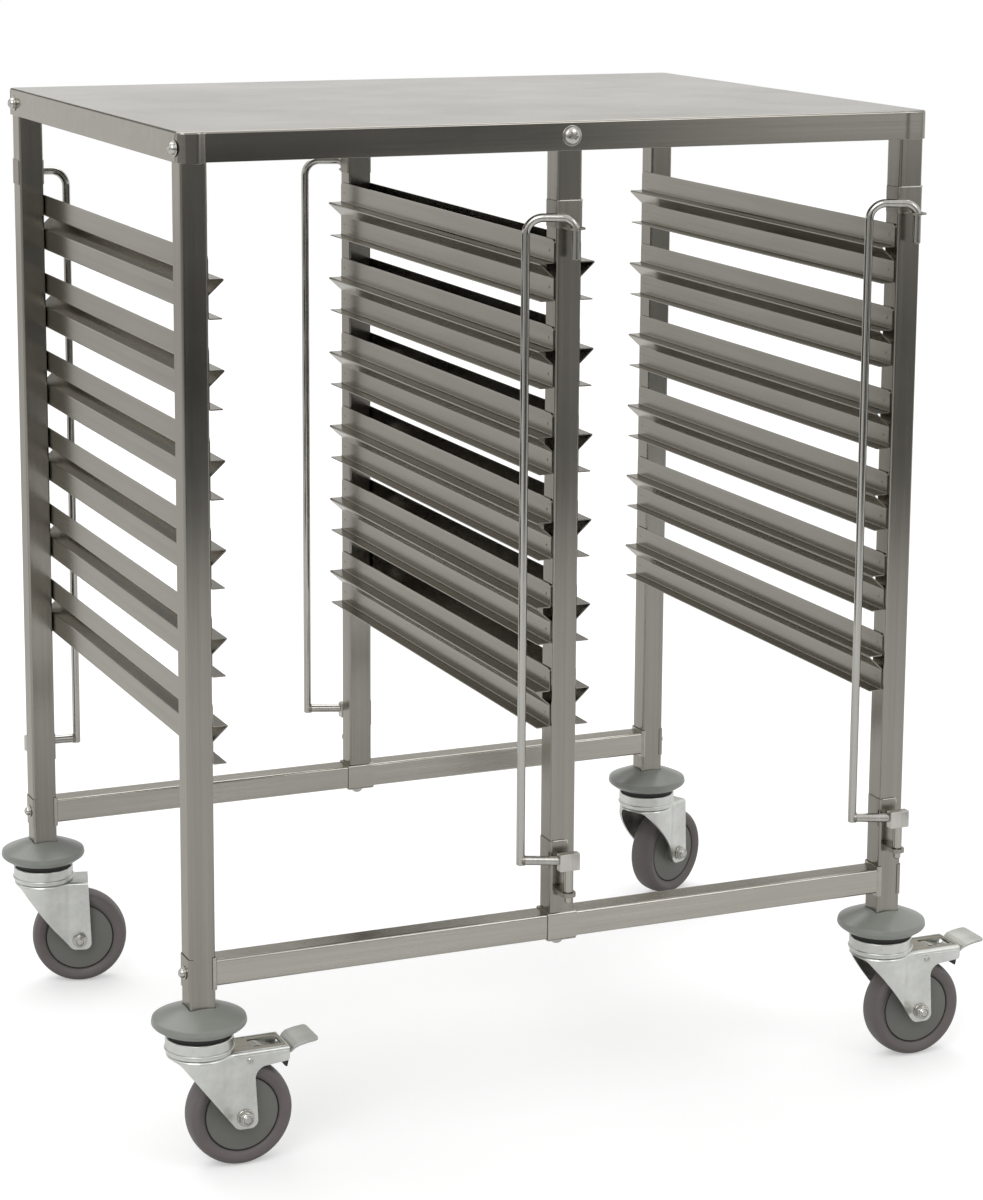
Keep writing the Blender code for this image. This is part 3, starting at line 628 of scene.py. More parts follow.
def bracket_welds_and_highlights():
    """Weld beads at the collar's and strap's ends, and thin strips along their top front edges that paint on the edges'
    highlights.
    """
    front = -HALF_TUBE - BRACKET_SHEET
    upper_top = UPPER_TAB_Z - 0.0016 + 0.025
    lower_top = GATE_BAR_Z + 0.0165
    pieces = [bead(line((0.0105, front + 0.0006, upper_top), (0.0128, front + 0.002, upper_top), 6), 0.0013)]
    pieces.append(bead(line((0.0075, front + 0.0005, upper_top - 0.0005), (0.0095, front + 0.0005, upper_top), 6), 0.001))
    end = -HALF_TUBE + 0.68 * TUBE
    # Thin strips along the top front edges: painted highlight lines, where the sheared edges catch light.
    for z, x in ((upper_top, 0.0100), (lower_top, end - 0.001)):
        pieces.append(sweep([(0.0015 - HALF_TUBE, front, z), (x, front, z)], 0.0007, 10))
    pieces.append(bead(line((end - 0.001, front + 0.0008, lower_top), (end + 0.0008, front + 0.0008, lower_top - 0.005), 7), 0.0014))
    return joined(pieces)


def saddle():
    """An inverted channel over the rail, and the plate that closes it below."""
    half = HALF_TUBE + SEAT_GAP
    top = RAIL_Z + half
    path = fillet([(-half, top - SADDLE_DROP), (-half, top), (half, top), (half, top - SADDLE_DROP)], 0.0015, 4)
    outline = sheet_outline(path[::-1], BRACKET_SHEET)
    channel_mesh = turned(side_prism(outline, -SADDLE_WIDTH / 2, SADDLE_WIDTH / 2), "Z", 90)
    low_z = RAIL_Z - HALF_TUBE
    reach = TUBE + 2 * (SEAT_GAP + BRACKET_SHEET)
    plate = prism(rounded_rectangle(SADDLE_WIDTH, reach, 0.002, 4), low_z - 0.0014, low_z - 0.0001)
    return [bevelled(channel_mesh, 0.00025), bevelled(plate, 0.0003)]


def add_brackets(name, where):
    place("gate_bracket_" + name, joined(gate_brackets()), BRACKET_STEEL, "frame", (), where)
    # Bright bolt steel on the beads and strips: painted glints on the welds and painted highlights on the edges.
    place("gate_welds_and_highlights_" + name, bracket_welds_and_highlights(), BOLT_STEEL, "frame", (), where)


def add_posts():
    gated = ("front_right", "back_left")
    top = TOP_Z - TOP_SHEET - SEAT_GAP
    for corner in CORNERS:
        bumper_low, bumper_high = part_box("bumper_" + corner)
        place_of_leg = Vector(((bumper_low.x + bumper_high.x) / 2, (bumper_low.y + bumper_high.y) / 2, 0))
        back, left = "back" in corner, "left" in corner
        plate = clamp(TUBE - 0.0006)
        if left != back:
            plate = turned(plate, "Z", 180)
        forms = [square_tube(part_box("leg_" + corner)[0].z, top), plate]
        turn = 180.0 if back else 0.0
        place("leg_skin_" + corner, joined(forms), STEEL[2], "frame", ["leg_" + corner],
              at(place_of_leg, turn))
        if corner in gated:
            add_brackets(corner, at(place_of_leg, turn))
    for side, y, turn in (("front", -POST_Y, 0.0), ("back", POST_Y, 180.0)):
        spot = MIDDLE + Vector((0, y, 0))
        post = square_tube(RAIL_Z + HALF_TUBE + SEAT_GAP + BRACKET_SHEET / 2, top)
        place("mid_post_skin_" + side, post, STEEL[2], "frame", ["mid_post_" + side], at(spot, turn))
        place("saddle_skin_" + side, joined(saddle()), LIT_RAIL_STEEL, "frame", (), at(spot, turn))
        add_brackets("mid_" + side, at(spot, turn))
        face = POST_PITCH - HALF_TUBE - SEAT_GAP
        tube = turned(square_tube(-face + BRACKET_SHEET / 2, face - BRACKET_SHEET / 2), "Y", 90)
        forms = [moved(tube, z=RAIL_Z)]
        for turn_plate, x in ((180, POST_PITCH), (0, -POST_PITCH)):
            plate = turned(clamp(TUBE + 2 * SEAT_GAP), "Z", turn_plate)
            forms.append(moved(plate, x=x))
        place("rail_skin_" + side, joined(forms), LIT_RAIL_STEEL, "frame", ["rail_" + side], at(spot))


add_posts()


# Runners

def runner():
    """A folded runner with its ledge at Z = 0, round ends on its free edges and weld marks on its webs."""
    length = 0.552
    nose = (RUNNER_LEDGE - RUNNER_NOSE, -RUNNER_NOSE)
    slope_end = -RUNNER_SLOPE_DROP
    foot = slope_end - RUNNER_LOWER_WEB
    s = RUNNER_SHEET

    def section(web_cut, lip_cut):
        path = [(RUNNER_LIP - lip_cut, foot), (s, foot), (s, slope_end)]
        path += arc(nose, RUNNER_NOSE, -45, 90, 6)
        path += [(s, 0.0), (s, RUNNER_UPPER_WEB - web_cut)]
        bends = [0, RUNNER_BEND, RUNNER_BEND] + [0] * 7 + [RUNNER_BEND, 0]
        return sheet_outline(fillet(path, bends, 4)[::-1], s)

    def cut(distance, size):
        gap = max(size - distance, 0.0)
        return size - math.sqrt(max(size * size - gap * gap, 0.0))

    stations = [0.0, 0.0002, 0.0006, 0.0012, 0.002, 0.003, RUNNER_END_ROUND]
    loops = []
    for sign in (-1, 1):
        for distance in stations if sign < 0 else reversed(stations):
            y = sign * (length / 2 - distance)
            outline = section(cut(distance, RUNNER_END_ROUND), cut(distance, 0.0006))
            loops.append([(x, y, z) for x, z in outline])
    forms = [loft(loops)]
    mark = [(0, 0.00006), (0.0006, 0.00008), (0.0010, 0.00024), (0.0013, 0.00018), (0.0017, -0.0002), (0, -0.0002)]
    for y in (-length / 2 + 0.0095, length / 2 - 0.0095):
        for z in (0.0105, slope_end - 0.009):
            forms.append(moved(turned(lathe(mark, 16), "Y", 90), x=s, y=y, z=z))
    return joined(forms)


def add_runners():
    shape = runner()
    seat = HALF_TUBE + SEAT_GAP
    rows = (("left", -POST_PITCH + seat, 0), ("mid_left", -seat, 180))
    rows += (("mid_right", seat, 0), ("right", POST_PITCH - seat, 180))
    for row, x, turn in rows:
        for level in range(1, LEVELS + 1):
            node = f"runner_{row}_{level}"
            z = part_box(node)[1].z - RUNNER_UPPER_WEB
            place(f"runner_skin_{row}_{level}", shape, STEEL[1], "frame", [node],
                  at(MIDDLE + Vector((x, 0, z)), turn))


add_runners()


# Gates

def gate_rod():
    top = GATE_ARM_Z
    path = [(0.0, top - GATE_HOOK_DROP), (0.0, top - GATE_HOOK_DROP + 0.0006)]
    path += arc((GATE_HOOK_BEND, top - GATE_HOOK_BEND), GATE_HOOK_BEND, 180, 90, 12)
    path += arc((GATE_ARM - GATE_TOP_BEND, top - GATE_TOP_BEND), GATE_TOP_BEND, 90, 0, 14)
    foot = GATE_BAR_Z - GATE_BAR_RADIUS
    path += [(GATE_ARM, foot + 0.0006), (GATE_ARM, foot)]
    radii = [ROD_RADIUS] * len(path)
    radii[0] = radii[-1] = ROD_RADIUS - 0.0006
    rod = sweep([(x, 0, z) for x, z in path], radii, 20)
    bar = sweep([(GATE_ARM - 0.001, 0, GATE_BAR_Z), (0.004, 0, GATE_BAR_Z)], GATE_BAR_RADIUS, 20)
    return joined([rod, bar])


def gate_block():
    bottom = GATE_BAR_Z - BLOCK_SINK - BLOCK[2] / 2
    outline = rounded_rectangle(BLOCK[0], BLOCK[1], 0.0009, 3)
    return turned(bevelled(prism(outline, bottom, bottom + BLOCK[2]), 0.0006, 3), "Z", BLOCK_TURN)


def gate_pin():
    shoulder = GATE_BAR_Z - BLOCK[2] / 2 - PIN_LENGTH
    profile = [(0, GATE_BAR_Z), (PIN_RADIUS, GATE_BAR_Z), (PIN_RADIUS, shoulder + 0.0004)]
    profile += [(PIN_RADIUS - 0.0004, shoulder), (TIP_RADIUS, shoulder)]
    profile += [(TIP_RADIUS, shoulder - TIP_LENGTH + 0.001), (TIP_RADIUS - 0.001, shoulder - TIP_LENGTH)]
    profile.append((0, shoulder - TIP_LENGTH))
    return lathe(profile, 24)


def gate_weld():
    """A rough weld ring where the bar meets the rod."""
    ring = [(GATE_BAR_RADIUS - 0.0003, -0.0042), (GATE_BAR_RADIUS + 0.0007, -0.0036), (GATE_BAR_RADIUS + 0.0005, -0.0022)]
    ring += [(GATE_BAR_RADIUS, -0.001), (GATE_BAR_RADIUS - 0.0003, -0.001)]
    return moved(turned(lathe(ring, 24, ring=True), "Y", 90), x=GATE_ARM - 0.0005, z=GATE_BAR_Z)


def add_gates():
    rod, block, pin, weld = gate_rod(), gate_block(), gate_pin(), gate_weld()
    for corner, yaw in GATE_YAWS.items():
        body = "gate_" + corner
        axis = JOINTS[body + "_swing"]
        where = at((axis.x, axis.y, 0), yaw)
        place("gate_rod_" + corner, rod, ROD_STEEL, body, [body], where)
        place("gate_block_" + corner, block, BLOCK_STEEL, body, (), where)
        place("gate_pin_" + corner, pin, SHADED_PIN_STEEL, body, (), where)
        place("gate_weld_" + corner, weld, WELD, body, (), where)


add_gates()


# Castors

def bumper():
    """A biconvex disc with a square socket for the leg."""
    height, crown, foot, bore = 0.0222, 0.011, 0.0378, 0.0106
    ridge = (0.0429, 0.0112)
    profile = [(bore, height)]
    for step in range(13):
        share = step / 12
        profile.append((crown + (ridge[0] - 0.0007 - crown) * share, height + (ridge[1] + 0.0003 - height) * share ** 1.35))
    profile += [(ridge[0] - 0.0002, ridge[1]), (ridge[0] + 0.0002, ridge[1] - 0.0003)]
    profile += [(ridge[0] + 0.0005, ridge[1] - 0.0009), (BUMPER_RADIUS - 0.0005, 0.0092), (BUMPER_RADIUS - 0.0001, 0.0080)]
    for step in range(9):
        share = step / 8
        profile.append((BUMPER_RADIUS - (BUMPER_RADIUS - foot) * share ** 1.9, 0.0010 + 0.0058 * (1 - share)))
    profile += [(foot - 0.0005, 0.0003), (foot - 0.0014, 0.0), (bore, 0.0)]
    disc = moved(lathe(profile, 72, ring=True), z=BUMPER_Z)
    socket = rounded_rectangle(TUBE + 0.0008, TUBE + 0.0008, TUBE_CORNER, 4)
    cut = prism(socket, BUMPER_Z + 0.0175, BUMPER_Z + 0.040)
    return combine(disc, [cut], "DIFFERENCE")


def swivel_head():
    """Stem, black seal disc and kingpin of the fixed half."""
    steel = [(0, 0.192), (0.0102, 0.192), (0.0102, 0.1355), (0.006, 0.1353), (0.006, 0.1091), (0.0105, 0.1091)]
    steel += [(0.0105, 0.1064), (0.0092, 0.1051), (0, 0.1051)]
    seal = [(0.006, 0.1266), (0.0285, 0.1266), (0.0290, 0.1272), (0.0290, 0.1349), (0.0285, 0.1355), (0.006, 0.1355)]
    return lathe(steel, 32), lathe(seal, 48, ring=True)


def fork_plan(inset, reach):
    """The fork from above: a round front that flows into two flat cheeks."""
    half = FORK_HALF - inset
    front = arc((0, 0), RING_RADIUS - 0.0005 - inset, 75, 285, 36)
    x, y = front[0]
    run = FORK_CREASE - x
    flow = []
    for step in range(1, 9):
        t = step / 8
        ease = t * t * (3 - 2 * t)
        lead = run * (t - 2 * t * t + t ** 3)
        flow.append((x + run * t, y + (half - y) * ease - 0.268 * lead))
    near = [(px, -py) for px, py in flow]
    return [(reach, half)] + flow[::-1] + front + near + [(reach, -half)]


def fork_side(braked):
    """The fork seen from the side, from the front skirt round the toe to the heel."""
    skirt_end, foot = CROWN_Z - 0.0018, WHEEL_RADIUS - FORK_TOE_DROP
    outline = [(-0.09, 0.3), (-0.09, skirt_end), (-LEADING_EDGE, skirt_end), (TRAIL - 0.0078, foot), (TRAIL + 0.0126, foot)]
    radii = [0, 0, 0.012, 0.009, 0.0072]
    if not braked:
        outline += [(FORK_HEEL, CROWN_Z), (FORK_HEEL, 0.3)]
        return fillet(outline, radii + [0.008, 0], 6, closed=True)
    low_z = CROWN_Z - BRAKE_SKIRT
    notch = arc((FORK_HEEL + BRAKE_NOTCH, low_z - BRAKE_NOTCH), BRAKE_NOTCH, 180, 90, 10)
    outline += notch + [(BRAKE_REACH, low_z + 0.002), (BRAKE_REACH, 0.3)]
    return fillet(outline, radii + [0] * len(notch) + [0.003, 0], 6, closed=True)


def fork(braked):
    """A pressed fork: rounded crown, two cheeks and, with a brake, its housing; the ball-race ring is built apart."""
    reach = BRAKE_REACH if braked else TRAIL + 0.014

    def bowl(inset, fold, top, end):
        loops = [[(x, y, -FORK_SHEET) for x, y in fork_plan(inset, end)]]
        for dx, z in arc((fold, top - fold), fold, 180, 90, 5):
            loops.append([(x, y, z) for x, y in fork_plan(inset + dx, end)])
        return loft(loops)

    shell = bowl(0.0, FORK_FOLD, CROWN_Z, reach)
    hollow = bowl(FORK_SHEET, 0.0008, CROWN_Z - FORK_SHEET, 2 * reach)
    shell = combine(shell, [hollow], "DIFFERENCE")
    shell = combine(shell, [side_prism(fork_side(braked), -0.05, 0.05)], "INTERSECT")
    cuts = [lathe([(0.0064, 0.05), (0.0064, 0.2)], 32)]
    cuts.append(moved(turned(lathe([(0.0044, -0.05), (0.0044, 0.05)], 24), "X", 90), x=TRAIL, z=WHEEL_RADIUS))
    if braked:
        slot = rounded_rectangle(0.0285, 0.019, 0.002, 3)
        cuts.append(moved(prism(slot, CROWN_Z - 0.006, CROWN_Z + 0.01), x=0.0622))
        pocket = rounded_rectangle(0.0520, 0.0330, 0.0025, 3)
        cuts.append(moved(prism(pocket, CROWN_Z - 0.0008, CROWN_Z + 0.01), x=0.0530))
    shell = bevelled(combine(shell, cuts, "DIFFERENCE"), 0.00035, 2, 25.0)
    if not braked:
        return shell
    ridges = []
    for y in (-FORK_HALF, FORK_HALF):
        ends = [(0.030, y, CROWN_Z - 0.0042), (0.032, y, CROWN_Z - 0.0042), (0.076, y, CROWN_Z - 0.0042), (0.078, y, CROWN_Z - 0.0042)]
        ridges.append(sweep(ends, [0.0002, 0.0007, 0.0007, 0.0002], 10))
    return joined([shell, *ridges])


def ring():
    """The ball-race cup on the crown, with a bead near its foot."""
    inner, foot = 0.0293, CROWN_Z - 0.0015
    profile = [(inner, 0.1263), (inner, RING_TOP - 0.0003), (inner + 0.0003, RING_TOP), (RING_RADIUS - 0.0011, RING_TOP)]
    profile += arc((RING_RADIUS - 0.0014, RING_TOP - 0.0014), 0.0014, 80, 0, 5)
    profile += [(RING_RADIUS, RING_BEAD_Z + 0.0012)]
    profile += arc((RING_RADIUS - 0.0002, RING_BEAD_Z), 0.0013, 75, -75, 8)
    wall, lip = RING_RADIUS - 0.0004, CROWN_Z + 0.0006
    profile += [(wall, RING_BEAD_Z - 0.0013), (wall, lip + 0.0004), (wall - 0.0004, lip), (RING_RADIUS - 0.003, lip)]
    profile += [(RING_RADIUS - 0.003, foot), (0.0065, foot), (0.0065, 0.1263)]
    return lathe(profile, 72, ring=True)


def tyre():
    """Rubber tread with round shoulders, from the groove round the hub outwards."""
    half = WHEEL_WIDTH / 2
    side = [(HUB_RADIUS + 0.0006, HUB_FACE - 0.003), (HUB_RADIUS + 0.0006, HUB_FACE - 0.0002)]
    side += [(HUB_RADIUS + 0.0012, HUB_FACE + 0.0006), (0.0395, half - 0.0010)]
    side += arc((WHEEL_RADIUS - 0.0085, half - 0.0078), 0.0078, 78, 20, 10)
    side += [(WHEEL_RADIUS - 0.00045, half - 0.0085), (WHEEL_RADIUS, half - 0.0125)]
    profile = side + [(radius, -z) for radius, z in reversed(side)]
    return turned(lathe(profile, 96, ring=True), "X", 90)


def hub():
    """Plastic hub disc with a soft rim, and its boss."""
    boss, face = 0.0181, HUB_FACE
    side = [(0.0044, boss), (0.0112, boss), (0.012, boss - 0.0008), (0.0126, face + 0.0008), (0.0140, face)]
    side += [(HUB_RADIUS - 0.0018, face), (HUB_RADIUS - 0.0009, face - 0.0002), (HUB_RADIUS - 0.0005, face - 0.0008)]
    side += [(HUB_RADIUS - 0.0005, face - 0.003)]
    profile = side + [(radius, -z) for radius, z in reversed(side)]
    return turned(lathe(profile, 72, ring=True), "X", 90)


def hub_groove_shade():
    """A black ring at the bottom of the groove between hub and tyre: painted shade of the groove."""
    inner, outer, z = HUB_RADIUS - 0.0009, HUB_RADIUS + 0.0010, HUB_FACE - 0.0014
    return turned(lathe([(inner, z), (outer, z), (outer, -z), (inner, -z)], 72, ring=True), "X", 90)


def hexagon(flats, bottom, top, chamfer):
    """A six-sided head or nut with its corners turned off."""
    size = flats / math.sqrt(3)
    outline = [(size * math.cos(math.radians(60 * k + 30)), size * math.sin(math.radians(60 * k + 30))) for k in range(6)]
    body = prism(outline, bottom, top)
    limit = lathe([(size * 1.02, bottom - 0.001), (size * 1.02, top - chamfer * 1.1), (flats / 2 * 0.97, top)], 48)
    return bevelled(combine(body, [limit], "INTERSECT"), 0.0002)


def axle():
    """Bolt across the fork: washers, a hexagon head and a lock nut, along Y."""
    seat = FORK_HALF + SEAT_GAP
    shank = lathe([(0, -seat - 0.0075), (0.0032, -seat - 0.0075), (0.004, -seat - 0.0066), (0.004, seat + 0.001), (0, seat + 0.001)], 24)
    washer = [(0.0042, 0), (0.0078, 0), (0.0081, 0.0003), (0.0081, 0.0010), (0.0078, 0.0013), (0.0042, 0.0013)]
    forms = [shank]
    for up in (0, 180):
        disc = moved(lathe(washer, 40, ring=True), z=seat)
        forms.append(turned(disc, "X", up))
    head = moved(hexagon(0.0125, 0.0, 0.0048, 0.0012), z=seat + 0.0013)
    nut = hexagon(0.0125, 0.0, 0.0042, 0.0010)
    collar = lathe([(0.0040, 0.003), (0.0056, 0.003), (0.0056, 0.0050), (0.0048, 0.0058), (0.0040, 0.0058)], 32, ring=True)
    nut = turned(moved(joined([nut, collar]), z=seat + 0.0013), "X", 180)
    return turned(joined(forms + [head, nut]), "X", -90)


def rivet():
    """Head of the brake's pivot rivet, along -Y."""
    profile = [(0, 0.0006), (0.0010, 0.0006), (0.0014, 0.0012), (0.0024, 0.0013), (0.0031, 0.0007), (0.0033, -0.0005), (0, -0.0005)]
    return turned(lathe(profile, 28), "X", 90)


def pedal():
    """Lever under the housing that rises behind it into a wide rounded pad, about its pivot."""
    spine = [(0.0, 0.0), (0.036, 0.0), (0.0405, 0.0008), (0.0440, 0.0054), (0.0480, 0.0078), (0.0560, 0.0095), (0.0676, 0.0108)]
    spine = fillet(spine, [0, 0.002, 0.003, 0.004, 0.006, 0.02, 0], 4)
    rounding, tip = 0.0045, spine[-1][0]
    loops = []
    stations = list(spine)
    last, before = Vector(spine[-1]), Vector(spine[-2])
    for step in range(1, 8):
        stations.insert(-1, tuple(before.lerp(last, 0.45 + 0.55 * step / 8)))
    for index, (x, z) in enumerate(stations):
        here = Vector((x, z))
        ahead = Vector(stations[min(index + 1, len(stations) - 1)]) - Vector(stations[max(index - 1, 0)])
        normal = Vector((-ahead.y, ahead.x)).normalized() * 0.0013
        grow = min(max((x - 0.034) / 0.014, 0.0), 1.0)
        width = 0.0125 + 0.0072 * grow * grow * (3 - 2 * grow)
        over = max(x - (tip - rounding), 0.0)
        width -= rounding - math.sqrt(max(rounding ** 2 - over ** 2, 0.0)) * 0.999
        top, bottom = here + normal, here - normal
        loops.append([(top.x, -width, top.y), (top.x, width, top.y), (bottom.x, width, bottom.y), (bottom.x, -width, bottom.y)])
    plate = bevelled(loft(loops), 0.0006, 3, 40.0)
    sleeve = turned(lathe([(0, -0.018), (0.0041, -0.018), (0.0041, 0.018), (0, 0.018)], 28), "X", 90)
    return joined([plate, sleeve])


def brake_shoe():
    """Black wedge under the pedal that grips the tyre."""
    outline = [(0.0280, -0.0010), (0.0405, -0.0010), (0.0402, -0.0080), (0.0388, -0.0150), (0.0366, -0.0138)]
    outline = fillet(outline, 0.0008, 3, closed=True)
    return bevelled(side_prism(outline, -0.012, 0.012), 0.0004)


def housing_plate():
    """Dull plate in the pocket of the brake housing, with the slot for the spring."""
    sheet = moved(prism(rounded_rectangle(0.0508, 0.0318, 0.002, 3), CROWN_Z - 0.00075, CROWN_Z - 0.0003), x=0.0530)
    slot = moved(prism(rounded_rectangle(0.0285, 0.019, 0.002, 3), CROWN_Z - 0.006, CROWN_Z + 0.01), x=0.0622)
    return combine(sheet, [slot], "DIFFERENCE")


def spring_plate():
    """Bent spring strip that shows in the housing's slot."""
    path = fillet([(0.0465, 0.1119), (0.0535, 0.1130), (0.0585, 0.1118), (0.0700, 0.1085)], 0.003, 4)
    return bevelled(side_prism(sheet_outline(path, 0.0009), -0.0070, 0.0070), 0.0002)


def add_castors():
    disc = bumper()
    stem, seal = swivel_head()
    plain_fork, braked_fork, cup = fork(False), fork(True), ring()
    tread, centre, gap = tyre(), hub(), hub_groove_shade()
    bolt, lever, shoe, head = axle(), pedal(), brake_shoe(), rivet()
    spring, cover = spring_plate(), housing_plate()
    for corner in CORNERS:
        axis = JOINTS[f"castor_{corner}_swivel"]
        spot = Vector((axis.x, axis.y, 0))
        yaw = CASTOR_YAWS[corner]
        turn = at(spot, yaw)
        body, wheel = "castor_" + corner, "wheel_" + corner
        place("bumper_disc_" + corner, disc, BUMPER, "frame", ["bumper_" + corner], at(spot))
        place("castor_stem_" + corner, stem, ZINC, "frame", ["swivel_head_" + corner], at(spot))
        place("castor_seal_" + corner, seal, BLACK, "frame", (), at(spot))
        braked = corner in BRAKED
        place("fork_shell_" + corner, braked_fork if braked else plain_fork, ZINC, body, ["fork_" + corner], turn)
        place("race_ring_" + corner, cup, ZINC, body, (), turn)
        hub_place = turn @ Matrix.Translation((TRAIL, 0, WHEEL_RADIUS))
        place("axle_bolt_" + corner, bolt, BOLT_STEEL, body, ["axle_" + corner], hub_place)
        place("tyre_" + corner, tread, TYRE, wheel, [wheel], hub_place)
        place("hub_" + corner, centre, HUB, wheel, (), hub_place)
        # Black ring in the hub's groove: painted shade.
        place("hub_groove_shade_" + corner, gap, BLACK, wheel, (), hub_place)
        if braked:
            press = JOINTS[f"pedal_{corner}_press"]
            pivot = at(press, yaw)
            pedal_body = "pedal_" + corner
            place("pedal_lever_" + corner, lever, DULL_ZINC, pedal_body, ["brake_pedal_" + corner], pivot)
            place("brake_shoe_" + corner, shoe, BLACK, pedal_body, (), pivot)
            place("brake_spring_" + corner, spring, BOLT_STEEL, body, (), turn)
            place("brake_plate_" + corner, cover, BRAKE_STEEL, body, (), turn)
            for side, half_turn in (("near", 0), ("far", 180)):
                seat = turn @ Matrix.Translation((press.x - axis.x, 0, press.z)) @ Matrix.Rotation(math.radians(half_turn), 4, "Z")
                place(f"brake_rivet_{side}_{corner}", head, BOLT_STEEL, body, (), seat @ Matrix.Translation((0, -FORK_HALF, 0)))


add_castors()


# Bolts

def dome_bolt(washer_radius, head_radius, rise, recess):
    """A pan head on a washer, along +Z from its seat, with a cross recess where one shows."""
    w, r = washer_radius, head_radius
    washer = [(0, 0), (w - 0.0003, 0), (w, 0.0003), (w, 0.0009), (w - 0.0004, 0.0012), (0, 0.0012)]
    head = [(0, 0.0012), (r, 0.0012), (r, 0.0020)]
    head += [(r * math.cos(math.radians(a)), 0.0020 + rise * math.sin(math.radians(a))) for a in (12, 26, 40, 54, 68, 80)]
    head.append((0, 0.0020 + rise))
    dome = lathe(head, 36)
    if recess:
        arms = [turned(prism(rounded_rectangle(r * 1.15, 0.0016, 0.0004, 2), 0.0026, 0.01), "Z", 35)]
        arms.append(turned(prism(rounded_rectangle(r * 1.15, 0.0016, 0.0004, 2), 0.0026, 0.01), "Z", 125))
        dome = combine(dome, arms, "DIFFERENCE")
    return joined([lathe(washer, 36), dome])


def cap_nut():
    """A domed nut on a washer, along +Z from its seat."""
    washer = [(0, 0), (0.0072, 0), (0.0075, 0.0003), (0.0075, 0.0010), (0.0072, 0.0013), (0, 0.0013)]
    profile = [(0, 0.0013), (0.0056, 0.0013), (0.0058, 0.0016), (0.0058, 0.0032)]
    profile += [(0.0058 * math.cos(math.radians(a)), 0.0032 + 0.0042 * math.sin(math.radians(a))) for a in (18, 36, 54, 72)]
    profile.append((0, 0.0074))
    return joined([lathe(profile, 32), lathe(washer, 36)])


def add_bolts():
    big, small, nut = dome_bolt(0.0095, 0.0076, 0.0026, True), dome_bolt(0.0062, 0.0046, 0.0040, False), cap_nut()
    middling = dome_bolt(0.0076, 0.0056, 0.0046, False)
    width, depth = TOP_SIZE
    flange_z = TOP_Z - 0.0135

    def bolt(name, shape, x, y, z, direction):
        seat = MIDDLE + Vector((x, y, z))
        matrix = Matrix.Translation(seat) @ Vector((0, 0, 1)).rotation_difference(Vector(direction)).to_matrix().to_4x4()
        place(name, shape, BOLT_STEEL, "frame", (), matrix)

    for side, y in (("front", -1), ("back", 1)):
        bolt(f"top_bolt_mid_{side}", big, 0, y * depth / 2, flange_z, (0, y, 0))
        bolt(f"saddle_bolt_{side}", nut, 0, y * POST_Y, RAIL_Z - HALF_TUBE - 0.0014, (0, 0, -1))
        for end, x in (("left", -1), ("right", 1)):
            if end == "left":
                bolt(f"top_bolt_{side}_{end}", middling, x * width / 2, y * POST_Y - 0.007, flange_z - 0.001, (x, 0, 0))
            clamp_x = POST_PITCH + HALF_TUBE - SEAT_GAP + BRACKET_SHEET
            bolt(f"clamp_bolt_{side}_{end}", small, x * clamp_x, y * POST_Y, RAIL_Z, (x, 0, 0))


add_bolts()


# Stage, light and camera

def stage_material(name, glow, gloss, diffuse):
    """A plain stage surface: its own colour, and a steady glow for rays from the camera, metal and glass."""
    material = bpy.data.materials.new(name)
    material.use_nodes = True
    tree = material.node_tree
    tree.nodes.clear()
    output = tree.nodes.new("ShaderNodeOutputMaterial")
    matte = tree.nodes.new("ShaderNodeBsdfDiffuse")
    matte.inputs["Color"].default_value = (diffuse, diffuse, diffuse, 1.0)
    light = tree.nodes.new("ShaderNodeEmission")
    light.inputs["Color"].default_value = (1.0, 1.0, 1.0, 1.0)
    path = tree.nodes.new("ShaderNodeLightPath")
    total = None
    for ray, level in (("Is Camera Ray", glow), ("Is Glossy Ray", gloss), ("Is Transmission Ray", gloss)):
        share = tree.nodes.new("ShaderNodeMath")
        share.operation = "MULTIPLY_ADD"
        share.inputs[1].default_value = level
        share.inputs[2].default_value = 0.0
        tree.links.new(path.outputs[ray], share.inputs[0])
        if total:
            tree.links.new(total, share.inputs[2])
        total = share.outputs[0]
    tree.links.new(total, light.inputs["Strength"])
    both = tree.nodes.new("ShaderNodeAddShader")
    tree.links.new(matte.outputs[0], both.inputs[0])
    tree.links.new(light.outputs[0], both.inputs[1])
    tree.links.new(both.outputs[0], output.inputs["Surface"])
    return material


def stage_sheet(name, corners, material):
    mesh = bpy.data.meshes.new(name)
    mesh.from_pydata(corners, [], [tuple(range(len(corners)))])
    mesh.materials.append(material)
    sheet = bpy.data.objects.new(name, mesh)
    bpy.context.scene.collection.objects.link(sheet)
    return sheet


def flag(name, corners, level):
    """A grey studio surface that only gloss shows. The camera doesn't see it, and it casts no shadow."""
    material = bpy.data.materials.new(name)
    material.use_nodes = True
    tree = material.node_tree
    tree.nodes.clear()
    glow = tree.nodes.new("ShaderNodeEmission")
    glow.inputs["Color"].default_value = (level, level, level * 0.97, 1.0)
    output = tree.nodes.new("ShaderNodeOutputMaterial")
    tree.links.new(glow.outputs[0], output.inputs["Surface"])
    sheet = stage_sheet(name, corners, material)
    sheet.visible_camera = False
    sheet.visible_shadow = False
    sheet.visible_diffuse = False


WHITE = stage_material("white_floor", 0.38, 0.05, 0.70)
FAR_WHITE = stage_material("far_floor", 0.74, 0.33, 0.46)
stage_sheet("floor", [(-2.6, -2.6, 0), (2.6, -2.6, 0), (2.6, 2.6, 0), (-2.6, 2.6, 0)], WHITE)
stage_sheet("far_floor", [(-7, -7, -0.001), (7, -7, -0.001), (7, 7, -0.001), (-7, 7, -0.001)], FAR_WHITE)

def floor_flag(name, x0, x1, y0, y1, level):
    flag(name, [(x0, y0, 0.002), (x1, y0, 0.002), (x1, y1, 0.002), (x0, y1, 0.002)], level)


